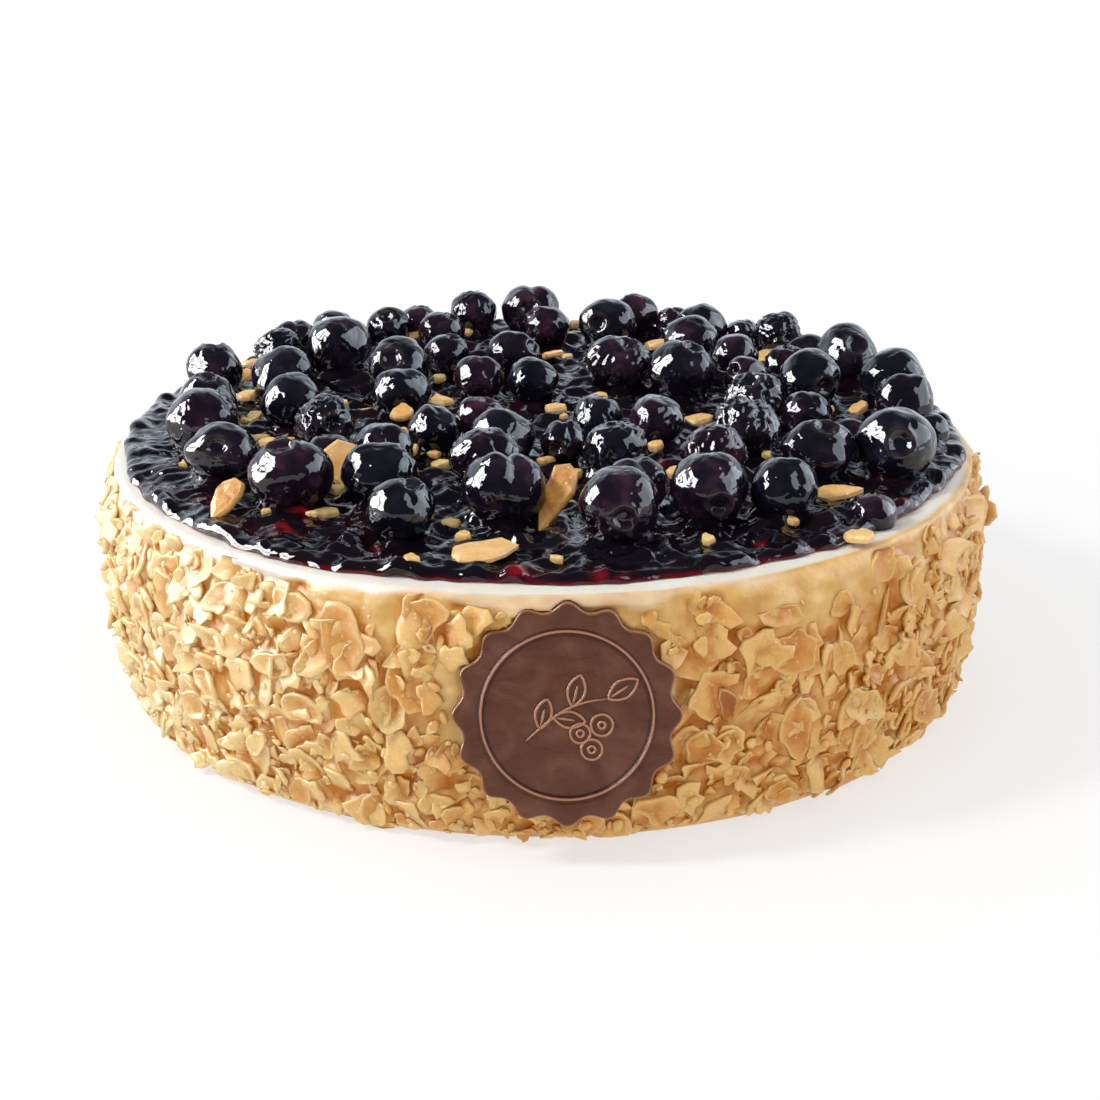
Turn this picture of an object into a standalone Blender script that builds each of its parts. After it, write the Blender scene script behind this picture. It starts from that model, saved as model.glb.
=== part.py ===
"""A round blueberry cheesecake, 20 cm across, modelled in metres with +Z up.

The cake is one solid of cream and filling with toasted almond flakes pressed into its side.
A dark blueberry glaze lies on its flat top, and carries chopped almonds and a few berries that
have sunk into it. The other berries stand on the glaze, each as its own object, and a scalloped
chocolate seal is pressed into the front of the side. The origin is the middle of the underside,
and the seal faces -Y.
"""

import math
import random

import bmesh
import bpy
from mathutils import Matrix, Vector, noise

MM = 0.001
CLEARANCE = 0.3 * MM

# The cake
CAKE_HEIGHT = 55.2 * MM
TOP_RADIUS = 97.6 * MM
FOOT_RADIUS = 93.6 * MM
FOOT_HEIGHT = 4 * MM
LOW_RADIUS = 96.8 * MM
BELLY_RADIUS = 101 * MM
BELLY_HEIGHT = 38 * MM
SHOULDER_DROP = 2.6 * MM
SHOULDER_RADIUS = 98.9 * MM
CAKE_SEGMENTS = 60
SIDE_UNEVENNESS = 0.5 * MM

# The glaze, a little thicker in the middle
GLAZE_THICKNESS = 2.2 * MM
GLAZE_CROWN = 1.6 * MM
GLAZE_RADIUS = 97.0 * MM
GLAZE_EDGE_WAVE = 0.6 * MM
# How far the glaze stops short of its full radius, in millimetres, at degrees round the cake
GLAZE_SETBACKS = ((184, 0), (198, 1.5), (234, 1.7), (245, 3.2), (257, 5.2), (300, 5.2), (314, 3.6),
                  (336, 3.6), (352, 0.6), (360, 0))
GLAZE_RIPPLE = 0.5 * MM
GLAZE_SEGMENTS = 48
GLAZE_RIM_LEVEL = CAKE_HEIGHT + CLEARANCE + GLAZE_THICKNESS

# The berries
BERRY_CENTRE_SHARE = 0.62
SUNKEN_CENTRE_SHARE = 0.45
LOOSE_BERRY_MESH = (10, 6)
SUNKEN_BERRY_MESH = (8, 5)
BERRY_SPACING = 0.45 * MM
SETTLING_ROUNDS = 60

# Where the berries lie, as read from the photograph: (right, behind, diameter), in millimetres.
LEFT_BERRIES = (
    (-59, 76, 12), (-66, 50.5, 13), (-51, 50.5, 16.5), (-62.5, 25, 15.5), (-80, 33, 14),
    (-62.5, 65, 11), (-78.5, 6.5, 15), (-58.5, 3.5, 14.5), (-77.5, -11, 16.5), (-50, -11, 14.5),
    (-71, -32, 15.6), (-54, -49.5, 17.6),
)
MIDDLE_LEFT_BERRIES = (
    (-18.5, 88, 12.5), (-3.5, 89, 15), (-40, 75.5, 11), (1, 75, 11.5), (-24, 46.5, 11.5),
    (-7.5, 47, 12.5), (-35, 31.5, 16), (-15.5, 26, 12), (-2.5, 22.5, 12), (-33.5, 11, 13.5),
    (-14.5, -7.5, 12.5), (-24.5, -16, 12.5), (-9, -24, 14.5), (-37, -30, 14), (-12.5, -38, 15.8),
    (-35, -49, 15.8), (-8.5, -58.5, 18), (-29.5, -68, 14.8),
)
MIDDLE_RIGHT_BERRIES = (
    (25.5, 85.5, 12), (42.5, 75, 13), (16.5, 71.5, 15), (37, 57, 14), (47.5, 45.5, 12),
    (18.5, 33.5, 15.5), (33, 27.5, 15.5), (49, 28, 11.5), (50, 4.5, 14.5), (12.5, -8, 12),
    (26, -10, 13), (45.5, -17.5, 16), (4, -22.5, 11), (16, -31, 13.6), (37.5, -32, 14.5),
    (19.5, -53, 13.5), (35, -58.5, 17.2), (51, -55, 14.8), (15.5, -68.5, 16.6),
)
RIGHT_BERRIES = (
    (61, 67, 13), (76, 45, 16.5), (63.5, 22.5, 15.5), (85, 24, 16), (84.5, 9, 14),
    (60.5, -1, 11.5), (60.5, -33, 16.4), (79, -31, 18.2),
)
LOOSE_BERRIES = LEFT_BERRIES + MIDDLE_LEFT_BERRIES + MIDDLE_RIGHT_BERRIES + RIGHT_BERRIES

# Small berries that have sunk into the glaze, written the same way.
SUNKEN_BERRIES = (
    (-35, 87, 10.5), (-26.5, 73.5, 11.5), (36, 84, 10), (52.5, 76, 9), (65, 57, 11),
    (61, 41, 11), (89, -5, 9), (70, -14, 10), (-46.5, -27.5, 10.5), (70.5, -57, 9.5),
)

# Chopped almonds that stand out on the glaze: (right, behind, length, width, heading, pitch),
# in millimetres and degrees. A pitch lifts the end that the heading points to.
LARGE_CHIPS = (
    (-13.5, -80, 13, 8, 15, 4), (5, -62, 12.5, 4.6, 55, 38), (-42, -42, 8.5, 6.5, 100, 35),
    (-66, -61, 8.5, 4.4, 60, 40), (59, -48, 11.5, 4.6, -5, 8), (64, -74, 7.5, 3.8, -30, 5),
    (-27, -88, 5.5, 3.6, -10, 0), (36, -8, 7.5, 5.4, 0, 8), (56, 49, 7.5, 5.6, 20, 15),
    (27.5, 48, 7.5, 5.0, -15, 10), (-19, -48, 6.5, 4.6, 20, 5), (3, 6, 6.5, 4.6, -25, 5),
    (-31, 60, 7.0, 5.0, 30, 15), (61, -14, 9.5, 3.6, 15, 15), (6, 40, 7.5, 3.2, -50, 15),
    (-31, -4, 5.5, 4.2, 60, 20), (-22, 6, 6.0, 5.0, 0, 5), (-21, -28, 5.5, 4.2, 15, 5),
    (6, -35, 5.0, 3.6, 20, 5), (74, 7, 4.5, 3.4, 45, 30), (-66, -2, 5.5, 3.4, 20, 0),
    (-68, 12, 5.0, 3.6, 80, 10), (27, -25, 5.0, 3.6, 30, 10), (-10, 4, 5.0, 3.6, 50, 0),
)
SMALL_CHIP_COUNT = 12
CHIP_THICKNESS = 1.8 * MM
CHIP_NUDGES = (0, 1.5, 3, 4.5)

# Almond flakes on the side
FLAKE_ROWS = (6.5, 14, 21.5, 29, 36.5, 44)
FLAKES_IN_ROW = 22
FLAKE_THICKNESS = 2.2 * MM
FLAKE_LENGTH_RANGE = (8.5, 15)
FLAKE_CORNERS = 5
LOWEST_FLAKE = 0.4 * MM

# The chocolate seal
SEAL_TIP_RADIUS = 23.0 * MM
SEAL_VALLEY_RADIUS = 21.2 * MM
SEAL_SCALLOPS = 16
SEAL_POINTS_PER_SCALLOP = 4
SEAL_THICKNESS = 3.0 * MM
SEAL_BEVEL = 0.5 * MM
SEAL_RING_RADIUS = 17.2 * MM
SEAL_RING_WIDTH = 0.7 * MM
SEAL_RING_HEIGHT = 0.4 * MM
SEAL_CENTRE = Vector((4.7 * MM, -103.6 * MM, 31.8 * MM))
SEAL_LEAN = math.radians(10)

CREAM = (0.90, 0.74, 0.50)
GLAZE = (0.012, 0.006, 0.018)
BERRY = (0.022, 0.016, 0.040)
CHOCOLATE = (0.115, 0.045, 0.030)


def clear_scene():
    for item in list(bpy.data.objects):
        bpy.data.objects.remove(item, do_unlink=True)


def plain_material(name, colour, roughness):
    material = bpy.data.materials.new(name)
    material.use_nodes = True
    shader = material.node_tree.nodes["Principled BSDF"]
    shader.inputs["Base Color"].default_value = (*colour, 1)
    shader.inputs["Roughness"].default_value = roughness
    shader.inputs["Metallic"].default_value = 0
    return material


def shade(mesh, smooth_angle):
    """Shades round forms smooth and keeps edges sharper than the angle, in degrees."""
    mesh.shade_smooth()
    mesh.set_sharp_from_angle(angle=math.radians(smooth_angle))


def object_from(bm, name, material, smooth_angle=None, collection=None):
    """Turns a bmesh into a named object with its material."""
    bmesh.ops.recalc_face_normals(bm, faces=bm.faces)
    mesh = bpy.data.meshes.new(name)
    bm.to_mesh(mesh)
    bm.free()
    mesh.materials.append(material)
    if smooth_angle is not None:
        shade(mesh, smooth_angle)
    made = bpy.data.objects.new(name, mesh)
    (collection or bpy.context.scene.collection).objects.link(made)
    return made


def ring_of(bm, count, place):
    """A closed ring of vertices, where place gives the point for an angle."""
    return [bm.verts.new(place(math.tau * i / count)) for i in range(count)]


def bridge(bm, lower, upper):
    """Quads between two rings of the same count."""
    count = len(lower)
    for i in range(count):
        j = (i + 1) % count
        bm.faces.new((lower[i], lower[j], upper[j], upper[i]))


def polar(radius, angle, height):
    return Vector((radius * math.cos(angle), radius * math.sin(angle), height))


def side_radius(height):
    """Radius of the cake's side: a rounded foot, a belly above half height and a soft shoulder."""
    if height < FOOT_HEIGHT:
        return FOOT_RADIUS + (LOW_RADIUS - FOOT_RADIUS) * height / FOOT_HEIGHT
    below = height < BELLY_HEIGHT
    end_height = FOOT_HEIGHT if below else CAKE_HEIGHT - SHOULDER_DROP
    end_radius = LOW_RADIUS if below else SHOULDER_RADIUS
    share = (height - end_height) / (BELLY_HEIGHT - end_height)
    return end_radius + (BELLY_RADIUS - end_radius) * math.sin(math.pi / 2 * share)


def joined_by_union(target, collection):
    """One solid from the target and everything in the collection, whose objects are then removed."""
    union = target.modifiers.new("join", "BOOLEAN")
    union.operation = "UNION"
    union.operand_type = "COLLECTION"
    union.collection = collection
    union.solver = "MANIFOLD"
    apply_modifiers(target)
    shade(target.data, 50)
    for item in list(collection.objects):
        bpy.data.objects.remove(item, do_unlink=True)
    bpy.data.collections.remove(collection)


def apply_modifiers(target):
    graph = bpy.context.evaluated_depsgraph_get()
    mesh = bpy.data.meshes.new_from_object(target.evaluated_get(graph))
    target.modifiers.clear()
    target.data = mesh


def pieces_collection(name):
    collection = bpy.data.collections.new(name)
    bpy.context.scene.collection.children.link(collection)
    return collection


def chip(rng, length, width, thickness, corners, material, place, collection):
    """A flat piece of almond with an uneven outline, put in place by a matrix."""
    bm = bmesh.new()
    start = rng.random() * math.tau
    outline = []
    for i in range(corners):
        angle = start + math.tau * i / corners
        reach = rng.uniform(0.82, 1.0)
        outline.append((length / 2 * reach * math.cos(angle), width / 2 * reach * math.sin(angle)))
    lower = [bm.verts.new((x, y, -thickness / 2)) for x, y in outline]
    upper = [bm.verts.new((0.88 * x, 0.88 * y, thickness / 2)) for x, y in outline]
    bm.faces.new(list(reversed(lower)))
    bm.faces.new(upper)
    bridge(bm, lower, upper)
    bm.transform(place)
    return object_from(bm, "chip", material, collection=collection)


def cake_body(material):
    """The cake without its flakes: a turned solid with an uneven side and a rounded shoulder."""
    bm = bmesh.new()
    levels = (0, FOOT_HEIGHT, 15 * MM, 26 * MM, BELLY_HEIGHT, CAKE_HEIGHT - SHOULDER_DROP)
    rings = []
    for height in levels:
        uneven = 0 if height == 0 else SIDE_UNEVENNESS

        def place(angle, height=height, uneven=uneven):
            spot = polar(1, angle, height / BELLY_HEIGHT)
            return polar(side_radius(height) + uneven * noise.noise(4 * spot), angle, height)

        rings.append(ring_of(bm, CAKE_SEGMENTS, place))
    rings.append(ring_of(bm, CAKE_SEGMENTS, lambda angle: polar(TOP_RADIUS, angle, CAKE_HEIGHT)))
    for lower, upper in zip(rings, rings[1:]):
        bridge(bm, lower, upper)
    bm.faces.new(list(reversed(rings[0])))
    bm.faces.new(rings[-1])
    return object_from(bm, "cheesecake", material, smooth_angle=30)


def seal_frame():
    """From the seal's own frame, its face along +Z, to its place on the cake's front."""
    return Matrix.Translation(SEAL_CENTRE) @ Matrix.Rotation(math.pi / 2 - SEAL_LEAN, 4, "X")


def near_seal(point, reach):
    flat = Vector((point.x - SEAL_CENTRE.x, point.z - SEAL_CENTRE.z))
    return point.y < 0 and flat.length < SEAL_TIP_RADIUS + reach


def almond_flakes(material, collection):
    """Flakes in staggered rows round the side, each with its own seeded size and tilt."""
    rng = random.Random(7)
    pitch = math.tau / FLAKES_IN_ROW
    for row, level in enumerate(FLAKE_ROWS):
        for column in range(FLAKES_IN_ROW):
            angle = pitch * (column + 0.5 * (row % 2) + rng.uniform(-0.28, 0.28))
            height = (level + rng.uniform(-2.4, 2.4)) * MM
            length = rng.uniform(*FLAKE_LENGTH_RANGE) * MM
            width = length * rng.uniform(0.5, 0.85)
            spin = rng.uniform(0, math.pi)
            lean = math.radians(rng.uniform(-15, 15))
            swing = math.radians(rng.uniform(-12, 12))
            centre = polar(side_radius(height) + rng.uniform(-0.1, 0.7) * MM, angle, height)
            if near_seal(centre, length / 2 + 0.5 * MM) or height < length * 0.36:
                continue
            place = (Matrix.Translation(centre) @ Matrix.Rotation(angle, 4, "Z")
                     @ Matrix.Rotation(math.pi / 2, 4, "Y") @ Matrix.Rotation(lean, 4, "X")
                     @ Matrix.Rotation(swing, 4, "Y") @ Matrix.Rotation(spin, 4, "Z"))
            flake = chip(rng, length, width, FLAKE_THICKNESS, FLAKE_CORNERS, material, place, collection)
            for vert in flake.data.vertices:
                vert.co.z = max(vert.co.z, LOWEST_FLAKE)


def press_seat(cake):
    """The shallow flat seat that the seal is pressed into."""
    bm = bmesh.new()
    reach = SEAL_TIP_RADIUS + 1.2 * MM
    depth = 20 * MM
    back = -SEAL_THICKNESS - CLEARANCE
    lower = ring_of(bm, 48, lambda angle: polar(reach, angle, back))
    upper = ring_of(bm, 48, lambda angle: polar(reach, angle, back + depth))
    bm.faces.new(list(reversed(lower)))
    bm.faces.new(upper)
    bridge(bm, lower, upper)
    bm.transform(seal_frame())
    cutter = object_from(bm, "seat_cutter", cake.data.materials[0])
    cut = cake.modifiers.new("seat", "BOOLEAN")
    cut.operation = "DIFFERENCE"
    cut.solver = "MANIFOLD"
    cut.object = cutter
    apply_modifiers(cake)
    bpy.data.objects.remove(cutter, do_unlink=True)


def cheesecake(material):
    cake = cake_body(material)
    flakes = pieces_collection("flakes")
    almond_flakes(material, flakes)
    joined_by_union(cake, flakes)
    press_seat(cake)
    return cake


def glaze_edge(angle):
    """Distance of the glaze's wavy edge from the middle: it stops short of the rim at the front."""
    turn = math.degrees(angle) % 360
    setback = 0.0
    for (low, first), (high, second) in zip(GLAZE_SETBACKS, GLAZE_SETBACKS[1:]):
        if low <= turn <= high:
            share = (turn - low) / (high - low)
            setback = (first + (second - first) * share * share * (3 - 2 * share)) * MM
    wave = GLAZE_EDGE_WAVE * noise.noise(polar(6, angle, 3))
    return GLAZE_RADIUS - setback + wave


def glaze_sheet(material):
    """The poured glaze: a rippled top, a soft wavy edge and a flat underside."""
    bm = bmesh.new()
    radii = [r * MM for r in (16, 32, 48, 63, 77, 88.5)]

    def ripple(angle, radius):
        spot = polar(radius / (15 * MM), angle, 0)
        return glaze_height(radius) - GLAZE_RIPPLE * (0.5 + 0.5 * noise.noise(spot))

    def edge_at(inset, height):
        return lambda angle: polar(glaze_edge(angle) - inset, angle, height)

    rings = [ring_of(bm, GLAZE_SEGMENTS, lambda a, r=r: polar(r, a, ripple(a, r))) for r in radii]
    rings.append(ring_of(bm, GLAZE_SEGMENTS, edge_at(1.4 * MM, GLAZE_RIM_LEVEL - 0.3 * MM)))
    rings.append(ring_of(bm, GLAZE_SEGMENTS, edge_at(0, GLAZE_RIM_LEVEL - 1.3 * MM)))
    rings.append(ring_of(bm, GLAZE_SEGMENTS, edge_at(0.5 * MM, CAKE_HEIGHT + CLEARANCE)))
    middle = bm.verts.new((0, 0, ripple(0, 0)))
    for i in range(GLAZE_SEGMENTS):
        bm.faces.new((middle, rings[0][i], rings[0][(i + 1) % GLAZE_SEGMENTS]))
    for inner, outer in zip(rings, rings[1:]):
        bridge(bm, outer, inner)
    bm.faces.new(rings[-1])
    return object_from(bm, "blueberry_glaze", material, smooth_angle=40)


def glaze_height(radius):
    """Level of the glaze at a distance from the middle, before its ripples are taken off."""
    return GLAZE_RIM_LEVEL + GLAZE_CROWN * (1 - min(1.0, radius / GLAZE_RADIUS) ** 2)


def settled_berries():
    """The loose and sunken berries as [x, y, radius, sunken], nudged apart until none touch."""
    berries = [[x * MM, y * MM, d / 2 * MM, False] for x, y, d in LOOSE_BERRIES]
    berries += [[x * MM, y * MM, d / 2 * MM, True] for x, y, d in SUNKEN_BERRIES]
    for _ in range(SETTLING_ROUNDS):
        for i, a in enumerate(berries):
            for b in berries[i + 1:]:
                apart = Vector((b[0] - a[0], b[1] - a[1]))
                missing = a[2] + b[2] + BERRY_SPACING - apart.length
                if missing > 0:
                    push = apart.normalized() * missing * 0.5
                    a[0], a[1] = a[0] - push.x, a[1] - push.y
                    b[0], b[1] = b[0] + push.x, b[1] + push.y
            out = math.hypot(a[0], a[1])
            limit = glaze_edge(math.atan2(a[1], a[0])) - 1.6 * MM - a[2]
            if out > limit:
                a[0], a[1] = a[0] * limit / out, a[1] * limit / out
    return berries


def berry_centre_height(x, y, radius):
    """A berry sits a little above the highest glaze under it."""
    inner = max(0.0, math.hypot(x, y) - radius)
    return glaze_height(inner) + BERRY_CENTRE_SHARE * radius


def berry_shape(rng, radius, segments, rings):
    """A slightly squashed, uneven berry with the dimple of its crown, within a ball of the radius."""
    bm = bmesh.new()
    bmesh.ops.create_uvsphere(bm, u_segments=segments, v_segments=rings, radius=1)
    squash = rng.uniform(0.91, 0.98)
    offset = Vector((rng.uniform(0, 50), rng.uniform(0, 50), rng.uniform(0, 50)))
    crown = max(bm.verts, key=lambda v: v.co.z)
    for vert in bm.verts:
        uneven = 0.965 + 0.035 * noise.noise(1.3 * vert.co + offset)
        vert.co *= uneven
        vert.co.z *= squash
    crown.co.z -= 0.07
    bm.transform(Matrix.Rotation(rng.uniform(0, math.tau), 4, "Z")
                 @ Matrix.Rotation(math.radians(rng.uniform(0, 75)), 4, "X")
                 @ Matrix.Rotation(rng.uniform(0, math.tau), 4, "Z"))
    reach = max(v.co.length for v in bm.verts)
    bm.transform(Matrix.Scale(radius / reach, 4))
    return bm


def cut_flat(bm, height):
    """Takes away all that is below a height and closes the cut."""
    bmesh.ops.bisect_plane(bm, geom=bm.verts[:] + bm.edges[:] + bm.faces[:], plane_co=(0, 0, height),
                           plane_no=(0, 0, -1), clear_outer=True)
    bmesh.ops.holes_fill(bm, edges=[e for e in bm.edges if e.is_boundary])


def blueberry(name, rng, berry, material):
    """A berry that stands on the glaze on a small flat spot."""
    radius = berry[2]
    bm = berry_shape(rng, radius, *LOOSE_BERRY_MESH)
    cut_flat(bm, -BERRY_CENTRE_SHARE * radius + CLEARANCE)
    bm.transform(Matrix.Translation(berry_centre(berry)))
    return object_from(bm, name, material, smooth_angle=60)


def berry_centre(berry):
    x, y, radius, sunken = berry
    if sunken:
        return Vector((x, y, glaze_height(math.hypot(x, y)) + SUNKEN_CENTRE_SHARE * radius))
    return Vector((x, y, berry_centre_height(x, y, radius)))


def chip_samples(length, width, place):
    """Points all over a chip, which tell how near it comes to its neighbours."""
    shares = [i / 4 for i in range(-4, 5)]
    flat = [(0.5 * length * a, 0.5 * width * b) for a in shares for b in shares if a * a + b * b <= 1.01]
    return [place @ Vector((x, y, z)) for x, y in flat for z in (-CHIP_THICKNESS / 2, CHIP_THICKNESS / 2)]


def chip_place(x, y, length, heading, pitch):
    """A chip lies with its lower end in the glaze."""
    lift = 0.1 * CHIP_THICKNESS + 0.34 * length * math.sin(pitch)
    centre = Vector((x, y, glaze_height(math.hypot(x, y)) + lift))
    return Matrix.Translation(centre) @ Matrix.Rotation(heading, 4, "Z") @ Matrix.Rotation(-pitch, 4, "Y")


def clear_place(x, y, length, width, heading, pitch, berries, others):
    """The nearest place, up to a few millimetres away, where a chip touches no berry and no chip."""
    for nudge in CHIP_NUDGES:
        for step in range(8 if nudge else 1):
            turn = math.tau * step / 8
            near_x = x + nudge * MM * math.cos(turn)
            near_y = y + nudge * MM * math.sin(turn)
            place = chip_place(near_x, near_y, length, heading, pitch)
            points = chip_samples(length, width, place)
            off_glaze = max(math.hypot(p.x, p.y) for p in points) > GLAZE_RADIUS - 5 * MM
            hits_berry = any((p - berry_centre(b)).length < b[2] + CLEARANCE for b in berries for p in points)
            hits_chip = any((place.translation - c).length < 0.5 * length + r for c, r in others)
            if not (off_glaze or hits_berry or hits_chip):
                return place
    return None


def almond_chips(berries, material, collection):
    """The large chips where they show, then small ones scattered in the gaps between berries."""
    rng = random.Random(21)
    placed = []

    def lay(x, y, length, width, heading, pitch):
        place = clear_place(x, y, length, width, heading, pitch, berries, placed)
        if place:
            placed.append((place.translation, 0.5 * length))
            chip(rng, length, width, CHIP_THICKNESS, 5, material, place, collection)
        return place is not None

    for x, y, length, width, heading, pitch in LARGE_CHIPS:
        for shrink in (1.0, 0.85, 0.7):
            if lay(x * MM, y * MM, length * shrink * MM, width * shrink * MM,
                   math.radians(heading), math.radians(pitch)):
                break
    wanted = len(placed) + SMALL_CHIP_COUNT
    while len(placed) < wanted:
        angle = rng.uniform(0, math.tau)
        radius = 76 * MM * math.sqrt(rng.random())
        length = rng.uniform(3.2, 5.6) * MM
        lay(radius * math.cos(angle), radius * math.sin(angle), length,
            length * rng.uniform(0.5, 0.8), rng.uniform(0, math.pi), rng.uniform(0, 0.3))


def sunken_berries(berries, material, collection):
    rng = random.Random(5)
    low = CAKE_HEIGHT + CLEARANCE + 0.4 * MM
    for berry in berries:
        if berry[3]:
            bm = berry_shape(rng, berry[2], *SUNKEN_BERRY_MESH)
            bm.transform(Matrix.Translation(berry_centre(berry)))
            cut_flat(bm, low)
            object_from(bm, "sunken", material, collection=collection)


def chocolate_seal(material):
    """A scalloped disc with a raised ring on its face."""
    bm = bmesh.new()
    count = SEAL_SCALLOPS * SEAL_POINTS_PER_SCALLOP

    def rim(inset, height):
        def place(angle):
            crest = (0.5 + 0.5 * math.cos(SEAL_SCALLOPS * (angle - math.pi / 2))) ** 1.25
            radius = SEAL_VALLEY_RADIUS + (SEAL_TIP_RADIUS - SEAL_VALLEY_RADIUS) * crest
            return polar(radius - inset, angle, height)
        return place

    def circle(radius, height):
        return lambda angle: polar(radius, angle, height)

    half = SEAL_RING_WIDTH / 2
    places = (rim(0, -SEAL_THICKNESS), rim(0, -SEAL_BEVEL), rim(SEAL_BEVEL, 0),
              circle(SEAL_RING_RADIUS + half, 0), circle(SEAL_RING_RADIUS, SEAL_RING_HEIGHT),
              circle(SEAL_RING_RADIUS - half, 0))
    rings = [ring_of(bm, count, place) for place in places]
    for lower, upper in zip(rings, rings[1:]):
        bridge(bm, lower, upper)
    bm.faces.new(list(reversed(rings[0])))
    bm.faces.new(rings[-1])
    bm.transform(seal_frame())
    return object_from(bm, "chocolate_seal", material, smooth_angle=35)


def main():
    clear_scene()
    cream = plain_material("cream_and_almond", CREAM, 0.5)
    glaze = plain_material("blueberry_glaze", GLAZE, 0.08)
    skin = plain_material("blueberry_skin", BERRY, 0.15)
    chocolate = plain_material("milk_chocolate", CHOCOLATE, 0.35)
    cheesecake(cream)
    berries = settled_berries()
    sheet = glaze_sheet(glaze)
    toppings = pieces_collection("toppings")
    almond_chips(berries, glaze, toppings)
    sunken_berries(berries, glaze, toppings)
    joined_by_union(sheet, toppings)
    rng = random.Random(11)
    loose = [berry for berry in berries if not berry[3]]
    for number, berry in enumerate(loose, 1):
        blueberry(f"blueberry_{number:02d}", rng, berry, skin)
    chocolate_seal(chocolate)


main()
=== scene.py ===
# %% [markdown]
# A blueberry cheesecake for a studio picture.
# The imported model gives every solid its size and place. This script dresses it: cream and toasted
# almonds for the side, a rippled jelly for the top, a wet skin for each berry and moulded chocolate
# for the seal. Everything is in metres, +Z is up, and the seal faces -Y.

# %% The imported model
import math
import random

import bmesh
import bpy
import numpy as np
from mathutils import Matrix, Vector, noise


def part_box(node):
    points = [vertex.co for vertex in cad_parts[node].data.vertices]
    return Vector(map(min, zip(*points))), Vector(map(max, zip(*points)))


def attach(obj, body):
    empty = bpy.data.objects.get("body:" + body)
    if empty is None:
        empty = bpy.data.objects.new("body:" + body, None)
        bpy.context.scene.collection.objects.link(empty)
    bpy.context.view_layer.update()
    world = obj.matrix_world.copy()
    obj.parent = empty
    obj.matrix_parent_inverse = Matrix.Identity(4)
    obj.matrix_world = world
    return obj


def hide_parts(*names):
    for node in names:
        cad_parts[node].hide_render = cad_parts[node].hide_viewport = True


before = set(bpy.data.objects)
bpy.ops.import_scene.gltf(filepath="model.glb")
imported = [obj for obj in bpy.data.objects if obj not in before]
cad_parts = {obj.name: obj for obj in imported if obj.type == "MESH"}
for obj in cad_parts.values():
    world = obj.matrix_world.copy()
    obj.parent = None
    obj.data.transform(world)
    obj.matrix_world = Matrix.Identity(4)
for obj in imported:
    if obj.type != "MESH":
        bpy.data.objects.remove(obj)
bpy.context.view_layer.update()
MM = 0.001
print("CAD nodes:", len(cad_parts))

# %% [markdown]
# The driving sizes are those of the solids. The cake's side bulges a little above half height and
# tucks in at the foot, so one function gives its radius at any height. Everything on the side is laid
# out on that curve.

# %% Driving sizes
CAKE_HEIGHT = 55.2 * MM
FOOT_HEIGHT = 4 * MM
BELLY_HEIGHT = 38 * MM
SHOULDER_HEIGHT = 52.6 * MM
FOOT_RADIUS = 93.6 * MM
LOW_RADIUS = 96.8 * MM
BELLY_RADIUS = 101 * MM
SHOULDER_RADIUS = 98.9 * MM
TOP_RADIUS = 97.6 * MM
GLAZE_RADIUS = 97.0 * MM
GLAZE_RIM_LEVEL = 57.7 * MM
GLAZE_CROWN = 1.6 * MM
SEAL_CENTRE = Vector((4.7 * MM, -103.6 * MM, 31.8 * MM))
SEAL_LEAN = math.radians(10)
SEAL_TIP_RADIUS = 23.0 * MM
SEAL_VALLEY_RADIUS = 21.2 * MM
SEAL_THICKNESS = 3 * MM


def side_radius(height):
    """Radius of the cake's side at one height or at many."""
    height = np.clip(np.asarray(height, float), 0, CAKE_HEIGHT)
    rising = np.sin(np.pi / 2 * np.clip((height - FOOT_HEIGHT) / (BELLY_HEIGHT - FOOT_HEIGHT), 0, 1))
    falling = np.sin(np.pi / 2 * np.clip((SHOULDER_HEIGHT - height) / (SHOULDER_HEIGHT - BELLY_HEIGHT), 0, 1))
    belly = np.where(height < BELLY_HEIGHT, LOW_RADIUS + (BELLY_RADIUS - LOW_RADIUS) * rising,
                     SHOULDER_RADIUS + (BELLY_RADIUS - SHOULDER_RADIUS) * falling)
    foot = FOOT_RADIUS + (LOW_RADIUS - FOOT_RADIUS) * np.sin(np.pi / 2 * np.clip(height / FOOT_HEIGHT, 0, 1))
    tuck = np.clip((height - SHOULDER_HEIGHT) / (CAKE_HEIGHT - SHOULDER_HEIGHT), 0, 1)
    shoulder = (SHOULDER_RADIUS - TOP_RADIUS) * (1 - np.sqrt(1 - tuck ** 2))
    return np.where(height < FOOT_HEIGHT, foot, belly) - shoulder


def smoothstep(low, high, value):
    share = np.clip((value - low) / (high - low), 0, 1)
    return share * share * (3 - 2 * share)


print("side radius at the belly:", float(side_radius(BELLY_HEIGHT)))

# %% [markdown]
# Food has no straight lines, so nearly every surface here is moved by soft noise. mathutils gives
# Perlin noise at a point. These helpers read it at many points, and turn arrays of points into
# meshes with the colour masks that the materials use.

# %% Helpers for noise and meshes
def soft_noise(points, size, octaves=3, seed=0):
    """Smooth noise near -1 to 1 at each point, with lumps of about the given size in metres."""
    shift = Vector((13.7 * seed, 7.1 * seed, 3.3 * seed))
    return np.array([noise.fractal(Vector(p) / size + shift, 1.0, 2.0, octaves) for p in points])


def ridge_noise(points, size, seed=0):
    """Noise with sharp crests near 1 and wide valleys near 0, for folds."""
    return 1 - np.clip(np.abs(soft_noise(points, size, 2, seed)) * 2.2, 0, 1)


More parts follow.
